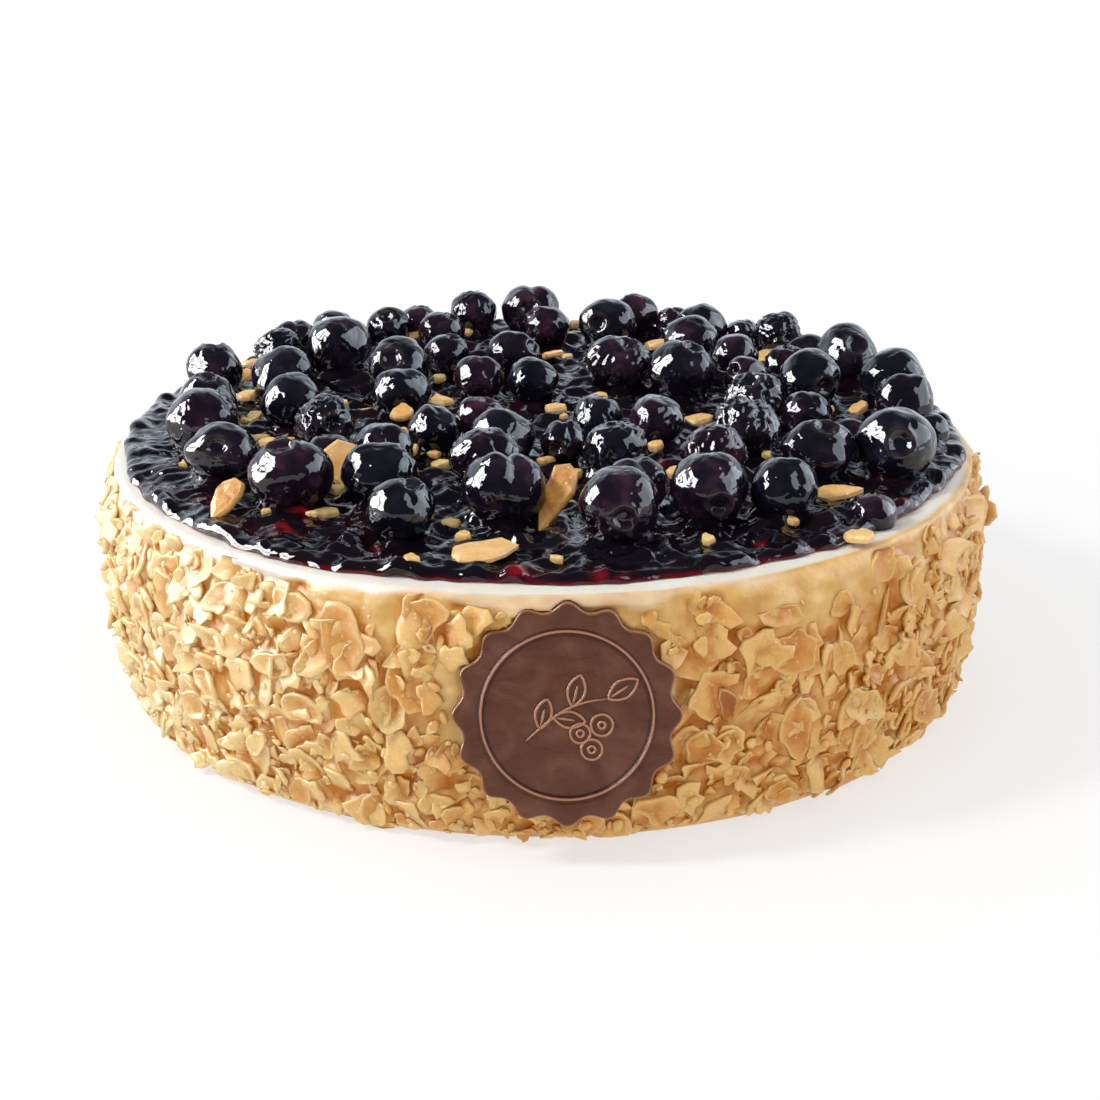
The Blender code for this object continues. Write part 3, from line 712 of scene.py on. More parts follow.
# %% Nuts on the side
settled = blurred(coat, 2.2 * MM)
cuts_on_side = (
    ("almond_slices", join_batches(first_slices, placed_slices, last_slices), almond),
    ("almond_shards", join_batches(first_shards, last_shards), almond),
    ("almond_slivers", slivers, almond_crumb),
)
flake_pieces = []
for name, (points, masks, spots, faces), material in cuts_on_side:
    around = settled[map_cells(spots[:, 0], spots[:, 1])]
    # Painted shade: the lower a point lies under the smoothed coat, the darker it is painted.
    depth = smoothstep(-0.2 * MM, 0.85 * MM, around - spots[:, 2])
    flake_pieces.append(mesh_piece(name, points, faces, [material], {
        "rim": masks[:, 0], "toast": masks[:, 1], "golden": masks[:, 2], "depth": depth}))
    print(name, len(faces), "faces")

# %% [markdown]
# Between the flakes lie chopped crumbs, which are small lumps rather than slices. A ball with few
# faces, squashed and shaken by noise, is enough at two millimetres. There are more of them low on
# the side, where loose crumbs gather on the table.

# %% Almond crumbs
def ball(subdivisions):
    """Points and faces of a ball of radius 1 with even faces."""
    bm = bmesh.new()
    bmesh.ops.create_icosphere(bm, subdivisions=subdivisions, radius=1)
    points = np.array([vert.co[:] for vert in bm.verts])
    faces = [tuple(vert.index for vert in face.verts) for face in bm.faces]
    bm.free()
    return points, faces


LOWEST_CRUMB = 0.8 * MM
CRUMB_SPREAD = 49 * MM
CRUMB_RIM = 0.4


def crumb_piece(name, seed, count):
    rng = random.Random(seed)
    shape, shape_faces = ball(2)
    points, masks, faces = [], [], []
    while len(points) < count:
        size = (0.45 + 1.1 * rng.random() ** 2) * MM
        along = rng.random() * GIRTH
        up = LOWEST_CRUMB + CRUMB_SPREAD * rng.random() ** 1.8
        row, column = map_cells(along, up)
        ground = float(coat[row, column])
        low_spot = float(settled[row, column]) - ground
        if (gap_to_seal(along, up) < 0.8 * size or low_spot < -0.3 * MM or up > coat_top(along) - size
                or on_broad_slice(along, up)):
            continue
        stretch = np.array([rng.uniform(0.6, 1.3), rng.uniform(0.6, 1.3), rng.uniform(0.45, 0.8)]) * size
        turn = np.array(Matrix.Rotation(rng.random() * math.tau, 3, "Z"))
        shake = 1 + 0.34 * soft_noise(shape + rng.random() * 50, 0.8, 1)
        local = (shape * shake[:, None] * stretch) @ turn
        height = np.clip(up + local[:, 1], LOWEST_POINT, CAKE_HEIGHT - 1 * MM)
        out = ground + 0.15 * size + local[:, 2]
        faces += shifted(shape_faces, len(points) * len(shape))
        points.append(on_side(along + local[:, 0], height, out))
        tone = 0.08 + 0.6 * rng.random() ** 1.6
        # Painted shade: the part of a crumb sunk in a gap takes the dark colour.
        sunk = smoothstep(0.2 * MM, -0.9 * MM, local[:, 2] - low_spot)
        side = golden_shaded_side(along + local[:, 0])
        masks.append(np.stack([np.full(len(shape), tone), side, 0.8 * sunk], axis=-1))
    toast, golden, depth = np.concatenate(masks).T
    print(name, count, "crumbs")
    return mesh_piece(name, np.concatenate(points), faces, [almond_crumb], {
        "rim": np.full(len(toast), CRUMB_RIM), "toast": toast, "golden": golden, "depth": depth})


crumbs = crumb_piece("almond_crumbs", 404, 800)

# %% [markdown]
# The cream itself is made last, because it climbs between the flakes like mortar: its level is the
# higher of its own swell and most of the way up the smoothed coat. At the top it comes clean of nuts
# and shows white, and it is smeared over the nuts above the seal. It also makes the flat top and the
# underside that the cake stands on.

# %% Cream body
CREAM_COLUMNS = 860
MORTAR_DROP = 0.55 * MM
MORTAR_LIMIT = 2.9 * MM
side_levels = np.concatenate([np.linspace(0.0, SHOULDER_HEIGHT, 78),
                              np.linspace(SHOULDER_HEIGHT, CAKE_HEIGHT, 8)[1:]])
cream_angle = np.arange(CREAM_COLUMNS) * math.tau / CREAM_COLUMNS
cream_along = cream_angle * MAP_RADIUS
between_flakes = np.minimum(blurred(coat, 1.0 * MM) - MORTAR_DROP, MORTAR_LIMIT)
mortar = np.maximum(cream_level, between_flakes) + 0.3 * MM * cream_lumps
above_top = cell_up[:, None] - coat_top(cell_angle * MAP_RADIUS)[None, :]
above_flakes = smoothstep(-1 * MM, 1.5 * MM, above_top)
smear_level = (0.75 + 0.9 * cream_swell + 0.5 * cream_lumps) * MM
mortar = mortar + above_flakes * (np.maximum(mortar, smear_level) - mortar)
WIDE_WHITE_TURN = math.radians(192)
NARROW_WHITE_TURN = math.radians(338)
leftness = np.maximum(0, np.cos(cream_angle - WIDE_WHITE_TURN)) ** 2
rightness = np.maximum(0, np.cos(cream_angle - NARROW_WHITE_TURN)) ** 3
white_edge = (55.6 - 4.6 * leftness + 1.2 * rightness) * MM
around_cream = polar(MAP_RADIUS, cream_angle, 0)
white_edge = white_edge + 0.9 * MM * soft_noise(around_cream, 12 * MM, 2, seed=9)
rim_swell = 0.5 * MM * soft_noise(around_cream, 9 * MM, 2, seed=15)
cream_rings, recess_shade_rings, white_rings = [], [], []
for up in side_levels:
    row, column = map_cells(cream_along, np.full(CREAM_COLUMNS, up))
    top_share = smoothstep(52 * MM, 55 * MM, up)
    foot_share = smoothstep(0, 2 * MM, up)
    spread = mortar[row, column] * foot_share * (1 - top_share) + rim_swell * top_share
    cream_rings.append(polar(side_radius(up) + spread, cream_angle, up))
    # Painted shade: the mask grows where the cream lies below the smoothed coat.
    hollow = smoothstep(0.1 * MM, 1.0 * MM, settled[row, column] - mortar[row, column])
    recess_shade_rings.append(hollow * (1 - top_share))
    pale = 0.35 * above_flakes[row, column]
    white_rings.append(np.maximum(smoothstep(-1.0 * MM, 0.6 * MM, up - white_edge), pale))
cream_rings.insert(0, polar(FOOT_RADIUS * 0.6, cream_angle, 0.0))
for inset, drop in ((0.4 * MM, 0.0), (1.5 * MM, 0.02 * MM), (7 * MM, 0.25 * MM)):
    cream_rings.append(polar(TOP_RADIUS - inset + rim_swell, cream_angle, CAKE_HEIGHT - drop))
flat_ring = np.zeros(CREAM_COLUMNS)
recess_shade = np.concatenate([flat_ring, *recess_shade_rings, *([flat_ring] * 3), [0, 0]])
white = np.concatenate([flat_ring, *white_rings, 1 - 0.7 * rightness, flat_ring + 1, flat_ring + 1, [0, 1]])
golden = np.concatenate([*([golden_shaded_side(cream_along)] * len(cream_rings)), [0.5, 0.5]])
cream_points = np.concatenate([*cream_rings, [(0, 0, 0), (0, 0, CAKE_HEIGHT - 0.25 * MM)]])
cream_body = mesh_piece("cream_body", cream_points, ring_faces(len(cream_rings), CREAM_COLUMNS), [cream],
                        {"recess_shade": recess_shade, "white": white, "golden": golden})
print("cream body rings:", len(cream_rings))

# %% [markdown]
# The seal is pressed into the coat, so what lies behind its face is pushed back, and the cream round
# it comes up to just under its face. Low down, where the seal leans away from the side, a pad of cream
# holds it. In the seal's own frame its face is the plane z = 0.

# %% Press the seal's bed
seal_frame = Matrix.Translation(SEAL_CENTRE) @ Matrix.Rotation(math.pi / 2 - SEAL_LEAN, 4, "X")
SEAL_SCALLOPS = 16
BED_DEPTH = 12 * MM
BED_MARGIN = 0.05 * MM
BED_EDGE_DROP = 0.45 * MM


def seal_outline(angle):
    """Distance from the seal's middle to its scalloped edge at an angle."""
    crest = (0.5 + 0.5 * np.cos(SEAL_SCALLOPS * (angle - math.pi / 2))) ** 1.15
    return SEAL_VALLEY_RADIUS + (SEAL_TIP_RADIUS - SEAL_VALLEY_RADIUS) * crest


def press_bed(piece, pad=False):
    """Pushes a piece back behind the seal, and raises it to the seal's back where it is the pad."""
    mesh = piece.data
    points = np.empty(len(mesh.vertices) * 3)
    mesh.vertices.foreach_get("co", points)
    points = points.reshape(-1, 3)
    local = transformed(points, seal_frame.inverted())
    distance = np.hypot(local[:, 0], local[:, 1])
    outside = distance - seal_outline(np.arctan2(local[:, 1], local[:, 0])) - BED_MARGIN
    allowed = np.where(outside < 0, -SEAL_THICKNESS + 0.2 * MM, -BED_EDGE_DROP + outside * 1.5)
    behind = (local[:, 2] > allowed) & (local[:, 2] < BED_DEPTH) & (outside < 4 * MM)
    local[behind, 2] = allowed[behind]
    if pad:
        under = (outside < -0.5 * MM) & (local[:, 2] > -BED_DEPTH) & (local[:, 2] < -SEAL_THICKNESS)
        gap = -SEAL_THICKNESS + 0.1 * MM - local[under, 2]
        local[under, 2] += smoothstep(-0.5 * MM, -3 * MM, outside[under]) * gap
        behind |= under
    points[behind] = transformed(local[behind], seal_frame)
    mesh.vertices.foreach_set("co", points.ravel())
    mesh.update()
    return int(behind.sum())


side_pieces = [cream_body, crumbs, *flake_pieces]
print("points pressed behind the seal:", [press_bed(piece, piece is cream_body) for piece in side_pieces])
for piece in side_pieces:
    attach(piece, "root")
    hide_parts("cheesecake")

# %% [markdown]
# The berries' places come from their solids: the middle and width of each node's box. A berry's
# solid stands on a flat spot, and the real one sinks into the jelly, so its middle is found from its
# flat spot. A few small berries are part of the glaze solid. They are listed here with their width
# and with how far their middles stand above the jelly, as a share of their radius.

# %% Where the berries are
BERRY_CENTRE_SHARE = 0.62
SUNKEN_BERRIES = (
    (-32.6, 82.8, 10.5, 0.4), (-26.3, 73.2, 11.5, 0.4), (34.3, 82.3, 10.0, 0.4), (51.5, 73.5, 9.0, 0.4),
    (66.4, 54.8, 11.0, 0.4), (60.3, 40.9, 11.0, 0.4), (89.0, -5.0, 9.0, 0.3), (70.0, -14.0, 10.0, 0.3),
    (-47.5, -27.2, 10.5, 0.3), (69.6, -56.2, 10.5, -0.2),
)


def glaze_level(radius):
    """Level of the jelly at a distance from the middle, without its ripples."""
    return GLAZE_RIM_LEVEL + GLAZE_CROWN * (1 - np.clip(radius / GLAZE_RADIUS, 0, 1) ** 2)


berries = []
for name in sorted(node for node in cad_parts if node.startswith("blueberry_") and node[-2:].isdigit()):
    low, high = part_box(name)
    radius = (high.x - low.x + high.y - low.y) / 4
    height = low.z - 0.3 * MM + BERRY_CENTRE_SHARE * radius
    middle = Vector(((low.x + high.x) / 2, (low.y + high.y) / 2, height))
    berries.append((name, middle, radius))
for number, (x, y, diameter, share) in enumerate(SUNKEN_BERRIES, 1):
    radius = diameter / 2 * MM
    level = float(glaze_level(math.hypot(x, y) * MM))
    berries.append((f"sunken_berry_{number:02d}", Vector((x * MM, y * MM, level + share * radius)), radius))
print("berries:", len(berries))

# %% [markdown]
# Jelly is almost black where it is thick and shows its deep red where it is thin. It is the shiniest
# thing on the cake. The ripples are real shape, so that their outlines and reflections turn with the
# view, and only the finest swells are bump.

# %% Jelly
jelly, tree, shader = new_material("blueberry_jelly", {"IOR": 1.45, "Specular IOR Level": 0.5})
film = use_group(tree, wet_film, {
    "Swell Size": 3.6 * MM, "Drop Size": 2.2 * MM, "Drops": 0.2, "Gloss": 0.015})
spots = use_group(tree, mottling, {"Size": 14 * MM, "Fineness": 3.0})
thick = ramp(tree, spots.outputs["Tone"], (
    (0.0, (0.003, 0.002, 0.004)), (0.7, (0.006, 0.003, 0.006)), (1.0, (0.016, 0.004, 0.006))))
THIN_JELLY = (0.24, 0.006, 0.012)
feed(tree, shader.inputs["Base Color"], mix_colour(tree, mask(tree, "thin"), thick, THIN_JELLY))
feed(tree, shader.inputs["Roughness"], film.outputs["Roughness"])
add_bump(tree, shader, film.outputs["Height"], 0.35 * MM)
print("jelly nodes:", len(tree.nodes))

# %% [markdown]
# The jelly is a disc of rings. Its height adds up from the crown, folds left by the spoon, comb-like
# strokes near the left and right rim, a lumpy bead at the edge, and the jelly that climbs a little way
# up each berry. The edge wanders in and out, and draws back from the rim at the front.

# %% Glaze sheet
GLAZE_COLUMNS = 600
glaze_angle = np.arange(GLAZE_COLUMNS) * math.tau / GLAZE_COLUMNS
edge_points = polar(0.096, glaze_angle, 0)
# How far the jelly stops short of the rim, in millimetres, at degrees round the cake.
SETBACKS = ((0, 0), (184, 0), (198, 1.5), (234, 1.7), (245, 3.2), (257, 5.2), (300, 5.2),
            (314, 3.6), (336, 3.6), (352, 0.6), (360, 0))
setback = np.interp(np.degrees(glaze_angle), *np.array(SETBACKS, float).T) * MM
glaze_edge = (GLAZE_RADIUS + 0.2 * MM - setback + 0.7 * MM * soft_noise(edge_points, 16 * MM, 1, seed=4)
              + 1.0 * MM * soft_noise(edge_points, 4.6 * MM, 1, seed=5))
BEAD_WIDTH = 2.4 * MM
BEAD_HEIGHT = 1.9 * MM
STROKE_PITCH = 3.1 * MM
GLAZE_UNDERSIDE = CAKE_HEIGHT + 0.03 * MM
# Where the jelly lies thin and shows red: (right, behind, reach) in millimetres.
THIN_PLACES = ((-55, -66, 7), (-50, -58, 5), (-72, -48, 5), (-44, -88, 4), (-5, -90, 5), (13, -91, 5),
               (25, -28, 4), (-64, -78, 4), (78, -48, 4))
flat_shares = np.concatenate([np.linspace(0.004, 0.86, 102), np.linspace(0.86, 1.0, 30)[1:]])


def jelly_height(points):
    """Height of the jelly's surface at points on the top of the cake."""
    x, y = points[:, 0], points[:, 1]
    radius = np.hypot(x, y)
    angle = np.arctan2(y, x)
    warp = soft_noise(points, 14 * MM, 2, seed=6)[:, None] * 6 * MM
    folds = ridge_noise(points + warp, 15 * MM, seed=7)
    lumps = soft_noise(points + warp * 0.6, 7 * MM, 1, seed=8)
    small_lumps = soft_noise(points, 3.2 * MM, 1, seed=16)
    height = glaze_level(radius) - 1.1 * MM + 1.2 * MM * folds ** 2
    height = height + 2.2 * MM * lumps + 1.0 * MM * small_lumps
    sideways = 0.85 * smoothstep(0.66, 0.88, np.abs(np.cos(angle))) * smoothstep(66 * MM, 76 * MM, radius)
    flow = 4.5 * soft_noise(points, 18 * MM, 1, seed=10) + (radius - 80 * MM) / (6 * MM)
    strokes = 0.5 + 0.5 * np.sin(angle * 0.092 * math.tau / STROKE_PITCH + flow)
    combed = glaze_level(radius) - 0.8 * MM + 0.75 * MM * strokes ** 0.7 + 1.1 * MM * lumps
    height = height + (combed - height) * sideways
    for _, middle, size in berries:
        distance = np.hypot(x - middle.x, y - middle.y)
        near = distance < size + 6 * MM
        contact = size * 0.84
        climb = np.where(distance[near] > contact, np.exp(-(distance[near] - contact) / (0.9 * MM)), 1.0)
        height[near] = height[near] + 1.2 * MM * climb
    return height


flat_radius = (glaze_edge - BEAD_WIDTH)[None, :] * flat_shares[:, None]
flat_points = polar(flat_radius, glaze_angle[None, :], 0.0).reshape(-1, 3)
flat_points[:, 2] = jelly_height(flat_points)
inset = np.repeat(1 - flat_shares, GLAZE_COLUMNS) * 0.094
bead_level = GLAZE_RIM_LEVEL - 0.3 * MM + 2.6 * MM * soft_noise(flat_points * (1, 1, 0), 4.4 * MM, 1, seed=11)
at_bead = smoothstep(5 * MM, 0.5 * MM, inset)
flat_points[:, 2] += (bead_level - flat_points[:, 2]) * 0.7 * at_bead
rim_height = flat_points[-GLAZE_COLUMNS:, 2]
bead_rings = []
for turn in np.radians(np.linspace(76, -50, 13)):
    out = glaze_edge - BEAD_WIDTH + BEAD_WIDTH * math.cos(turn)
    up = rim_height - BEAD_HEIGHT + BEAD_HEIGHT * math.sin(turn)
    bead_rings.append(polar(out, glaze_angle, np.maximum(up, GLAZE_UNDERSIDE)))
under = polar(glaze_edge - 4 * MM, glaze_angle, GLAZE_UNDERSIDE)
inward = flat_points.reshape(len(flat_shares), -1, 3)[::-1].reshape(-1, 3)
rings = np.concatenate([under, *reversed(bead_rings), inward])
middle_top = (0, 0, float(flat_points[:GLAZE_COLUMNS, 2].mean()))
glaze_points = np.concatenate([rings, [(0, 0, GLAZE_UNDERSIDE), middle_top]])
thin = np.zeros(len(glaze_points))
for x, y, reach in THIN_PLACES:
    away = np.hypot(glaze_points[:, 0] - x * MM, (glaze_points[:, 1] - y * MM) * 1.3)
    thin = np.maximum(thin, 0.85 * np.exp(-(away / (reach * 0.55 * MM)) ** 2))
thin *= smoothstep(-0.35, 0.25, soft_noise(glaze_points, 3.5 * MM, 2, seed=12))
at_edge = smoothstep(1.0 * MM, 0.1 * MM, glaze_points[:, 2] - CAKE_HEIGHT)
glaze_sheet = mesh_piece("glaze_sheet", glaze_points, ring_faces(len(rings) // GLAZE_COLUMNS, GLAZE_COLUMNS),
                         [jelly], {"thin": np.maximum(thin, at_edge * 0.5)})
print("glaze sheet faces:", len(glaze_sheet.data.polygons))

# %% [markdown]
# A cooked blueberry is an uneven ball with a small crown, the scar of its flower: a low ragged ring
# round a dimple. Some skins have begun to wrinkle. Every berry gets its own lumps, tilt and share of
# wrinkles from its own seed, and sits where its solid sits.

# %% Berry skin
berry_skin, tree, shader = new_material("blueberry_skin", {"IOR": 1.48})
film = use_group(tree, wet_film, {
    "Swell Size": 3.4 * MM, "Drop Size": 1.7 * MM, "Drops": 0.22, "Gloss": 0.02})
spots = use_group(tree, mottling, {"Size": 5 * MM, "Fineness": 4.0})
blue = ramp(tree, spots.outputs["Tone"], (
    (0.0, (0.003, 0.003, 0.006)), (0.6, (0.006, 0.006, 0.012)), (1.0, (0.014, 0.014, 0.026))))
purple = ramp(tree, spots.outputs["Tone"], (
    (0.0, (0.006, 0.003, 0.007)), (0.6, (0.018, 0.007, 0.016)), (1.0, (0.060, 0.018, 0.034))))
skin = mix_colour(tree, mask(tree, "purple"), blue, purple)
CROWN_COLOUR = (0.06, 0.045, 0.04)
feed(tree, shader.inputs["Base Color"], mix_colour(tree, mask(tree, "crown"), skin, CROWN_COLOUR))
feed(tree, shader.inputs["Roughness"], film.outputs["Roughness"])
add_bump(tree, shader, film.outputs["Height"], 0.36 * MM)
print("berry skin nodes:", len(tree.nodes))

# %% [markdown]
# A berry starts as a ball of even triangles. Each point moves in or out along its own direction: by
# noise for the lumps, by sharp folds where the skin is wrinkled, by a lobed ring and a dimple at the
# crown, and by a soft groove where a berry is creased. The berry is then brought to its solid's width.

# %% Berries
CROWN_ANGLE = 0.36
berry_ball, berry_faces = ball(5)
# Berries in plain view follow the real ones: (direction of the crown, stretch along x, y and z,
# depth of a crease over the top, wrinkles).
SEEN_BERRIES = {
    "blueberry_12": ((-0.2, -0.25, 0.95), (1.10, 1.0, 0.96), 0, 0),
    "blueberry_30": ((0.35, -0.15, 0.92), (1.0, 1.0, 1.0), 0.06, 0.1),
    "blueberry_29": ((0.1, 0.9, 0.3), (1.08, 1.0, 0.98), 0.17, 0),
    "blueberry_28": ((0.7, 0.2, 0.6), (1.1, 0.95, 0.95), 0.05, 0.3),
    "blueberry_49": ((0.1, -0.99, 0.0), (1.0, 1.0, 1.04), 0, 0),
    "blueberry_46": ((0.1, 0.5, 0.8), (1.1, 1.0, 0.95), 0.1, 0.3),
    "blueberry_47": ((0.22, -0.97, -0.12), (1.0, 1.0, 1.06), 0.03, 0),
    "blueberry_48": ((0.6, 0.2, -0.5), (1.0, 1.0, 1.04), 0.05, 0.2),
    "blueberry_56": ((0.2, -0.3, 0.93), (1.04, 1.0, 0.98), 0.04, 0.15),
    "blueberry_57": ((0.0, -0.93, 0.35), (1.0, 1.0, 1.0), 0, 0),
    "blueberry_42": ((0.2, 0.2, 0.9), (1.0, 1.0, 1.0), 0.05, 1.0),
    "blueberry_39": ((-0.2, -0.3, 0.9), (1.05, 1.0, 0.97), 0.05, 0.9),
    "blueberry_45": ((0.3, 0.4, 0.8), (1.08, 1.0, 0.94), 0, 0.8),
    "blueberry_11": ((0.0, -0.85, 0.5), (1.08, 1.0, 0.94), 0, 0.25),
    "blueberry_09": ((0.7, 0.2, 0.6), (1.0, 1.0, 1.0), 0.04, 0.1),
    "blueberry_33": ((-0.4, -0.85, 0.35), (1.0, 1.0, 1.0), 0, 0.1),
    "blueberry_36": ((0.3, -0.2, 0.9), (1.05, 1.0, 0.92), 0.08, 0.7),
    "blueberry_27": ((0.5, 0.3, 0.8), (1.08, 1.0, 0.95), 0.08, 0.6),
}


def berry_shape(rng, radius, feature):
    """Points of a berry about its middle, with a mask for its crown."""
    shift = rng.random() * 60
    if feature is None:
        up = rng.uniform(-0.2, 1.0)
        around = rng.random() * math.tau
        flat = math.sqrt(1 - up * up)
        crown_way = Vector((math.cos(around) * flat, math.sin(around) * flat, up))
        stretch = (rng.uniform(0.95, 1.08), rng.uniform(0.95, 1.08), rng.uniform(0.92, 1.0))
        crease = max(0.0, rng.uniform(-0.15, 0.12))
        wrinkle = max(0.0, rng.uniform(-0.8, 0.9))
    else:
        crown_way, stretch, crease, wrinkle = Vector(feature[0]).normalized(), *feature[1:]
    turn = np.array(crown_way.to_track_quat("Z", "Y").to_matrix())
    own = berry_ball @ turn
    polar_angle = np.arccos(np.clip(own[:, 2], -1, 1))
    around = np.arctan2(own[:, 1], own[:, 0])
    lumps = 0.13 * soft_noise(berry_ball + shift, 0.95, 1)
    small_lumps = 0.032 * soft_noise(berry_ball + shift, 0.40, 1)
    scale = 1 + lumps + small_lumps
    folds = ridge_noise(own * (1, 1, 0.4) + shift, 0.30)
    shrivelled = smoothstep(-0.3, 0.5, soft_noise(berry_ball + shift, 1.0, 1) + wrinkle - 0.4)
    scale = scale - 0.12 * wrinkle * (1 - folds) * shrivelled
    lobes = 1 + 0.5 * np.cos(5 * around + shift)
    ring = np.exp(-((polar_angle - CROWN_ANGLE) / 0.075) ** 2) * lobes
    scale = scale + 0.035 * ring - 0.17 * smoothstep(CROWN_ANGLE, CROWN_ANGLE * 0.45, polar_angle)
    wander = 0.08 * soft_noise(berry_ball + shift, 0.8, 1)
    crease_line = berry_ball[:, 0] * 0.9 + berry_ball[:, 1] * 0.3 - 0.08 + wander
    scale = scale - crease * np.exp(-(crease_line / 0.20) ** 2) * smoothstep(0.1, 0.75, berry_ball[:, 2])
    points = berry_ball * scale[:, None] * stretch
    extent = np.ptp(points, axis=0) / 2
    points = (points - (points.max(axis=0) + points.min(axis=0)) / 2) * (radius / extent[:2].mean())
    points[:, 2] *= 0.96
    return points, np.clip(ring * 0.4, 0, 1)


BERRY_FULLNESS = 1.05
for index, (name, middle, radius) in enumerate(berries):
    rng = random.Random(900 + index)
    points, crown = berry_shape(rng, radius * BERRY_FULLNESS, SEEN_BERRIES.get(name))
    purple = np.full(len(points), rng.random() ** 2.0)
    piece = mesh_piece("berry_" + name, points + np.array(middle), berry_faces, [berry_skin],
                       {"crown": crown, "purple": purple})
    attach(piece, "root")
    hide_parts(name if name.startswith("blueberry") else "blueberry_glaze")

# %% [markdown]
# Chopped almonds lie on the jelly between the berries. The large ones are placed where the real ones
# are, as (right, behind, length, width, heading, pitch, toast) in millimetres and degrees. Small
# chips fill the gaps at random.

# %% Almonds on top
TOP_CHIPS = (
    (-13, -82, 14, 7.5, 12, 5, 0.45), (4.0, -57, 19, 5.0, 60, 42, 0.82), (-44, -36, 10, 8, 110, 50, 0.6),
    (-67, -54, 10, 4.6, 62, 36, 0.78), (61.5, -47, 12, 5, -5, 8, 0.45), (65, -69, 8, 4.4, -30, 5, 0.4),
    (-26.5, -85, 5, 3, -10, 0, 0.45), (36.5, 5, 7.5, 4.5, 0, 8, 0.5), (57, 60, 8, 6, 20, 15, 0.4),
    (28.5, 65, 7.5, 4, -15, 10, 0.45), (-19.5, -63, 4, 2.6, 20, 5, 0.4), (-16.5, -72, 3.4, 2.8, 0, 5, 0.45),
    (3, 9, 6.5, 4, -25, 5, 0.45), (-31, 76, 7, 4.5, 30, 15, 0.5), (62, 0, 10.5, 2.8, 15, 15, 0.55),
    (2, 55, 7.5, 2.6, -50, 20, 0.68), (-32.5, 3, 5.5, 4, 60, 20, 0.62), (-24.5, 20, 6.5, 5, 0, 5, 0.4),
    (-23, -30, 5.5, 4, 15, 5, 0.3), (6, -32, 5, 3.6, 20, 5, 0.45), (75, 15, 4.5, 3.2, 45, 30, 0.55),
    (-66, -5.5, 6.5, 2.2, 20, 0, 0.35), (-68, 8, 4.2, 4, 80, 10, 0.3), (25, -20, 4, 3, 30, 10, 0.45),
    (-25.5, 15, 5, 3.4, 50, 0, 0.3), (-71.5, 22, 5, 4, 10, 10, 0.3), (-74, 42, 6, 3, 80, 15, 0.55),
    (-62.5, -12, 4, 3, 0, 5, 0.3), (-57.5, -14, 3.5, 2.6, 60, 5, 0.4), (-48, 18, 3.5, 3, 0, 5, 0.4),
    (-43, 14, 4, 2.5, 30, 5, 0.35), (-26, 35, 3.2, 3, 0, 5, 0.3), (-22.5, 44, 4, 3, 40, 5, 0.4),
    (-33, -7, 4, 3, 0, 10, 0.35), (-30, -22, 4, 3, 70, 5, 0.4), (-44, -45, 5, 3, 20, 5, 0.25),
    (-46, -54, 5.5, 3, 10, 0, 0.3), (1.5, -26, 3.5, 3, 0, 5, 0.4), (2, -46, 5, 2.6, 70, 10, 0.25),
    (29.5, -36, 5, 4, 60, 20, 0.4), (50, -25, 3, 2.4, 0, 5, 0.4), (13.5, 22, 4, 2.6, 0, 5, 0.4),
    (8, 88, 4, 3, 0, 5, 0.45), (-20, 84, 4, 3, 0, 5, 0.45), (55, 73, 4, 3, 20, 5, 0.45),
    (68, -50, 5, 1.8, 60, 10, 0.5), (44, -6, 4, 3, 0, 5, 0.5), (-73, 53, 4, 3, 0, 5, 0.4),
)
SPRINKLED_CHIPS = 34
CHIP_THICKNESS = 2.0 * MM
CHIP_SCALE = 1.18
CHIP_CORNERS = 10
LONG_CHIP = 9.5 * MM
# Each ring of a chip is (share of the outline, share of the thickness, rim mask).
CHIP_RINGS = ((0.8, 0.0, 1.0), (0.98, 0.2, 0.8), (1.0, 0.6, 0.6), (0.9, 0.9, 0.7), (0.55, 1.0, 0.1))


def clear_of_berries(x, y, reach):
    """A place near (x, y) where a chip's middle keeps off the berries' bodies."""
    for _ in range(12):
        for _, middle, radius in berries:
            gap = math.hypot(x - middle.x, y - middle.y) - radius * 0.9 - reach
            if gap < 0:
                away = math.atan2(y - middle.y, x - middle.x)
                x -= gap * math.cos(away) * 0.6
                y -= gap * math.sin(away) * 0.6
    return x, y


def chip_body(rng, length, width, thickness):
    """A chopped piece of nut: an uneven outline, bevelled above and below."""
    breaks = 1 if length > LONG_CHIP else 3
    x, y = broken_outline(rng, CHIP_CORNERS, length * 1.12, width * 1.12, breaks, 0.08)
    rings = []
    for scale, level, rim in CHIP_RINGS:
        uneven = np.array([rng.uniform(-0.07, 0.07) for _ in x]) * thickness
        height = level * thickness + uneven
        rings.append(np.stack([x * scale, y * scale, height, np.full(len(x), rim)], axis=-1))
    return np.concatenate([*rings, [(0, 0, 0, 1)], [(0, 0, thickness, 0)]])


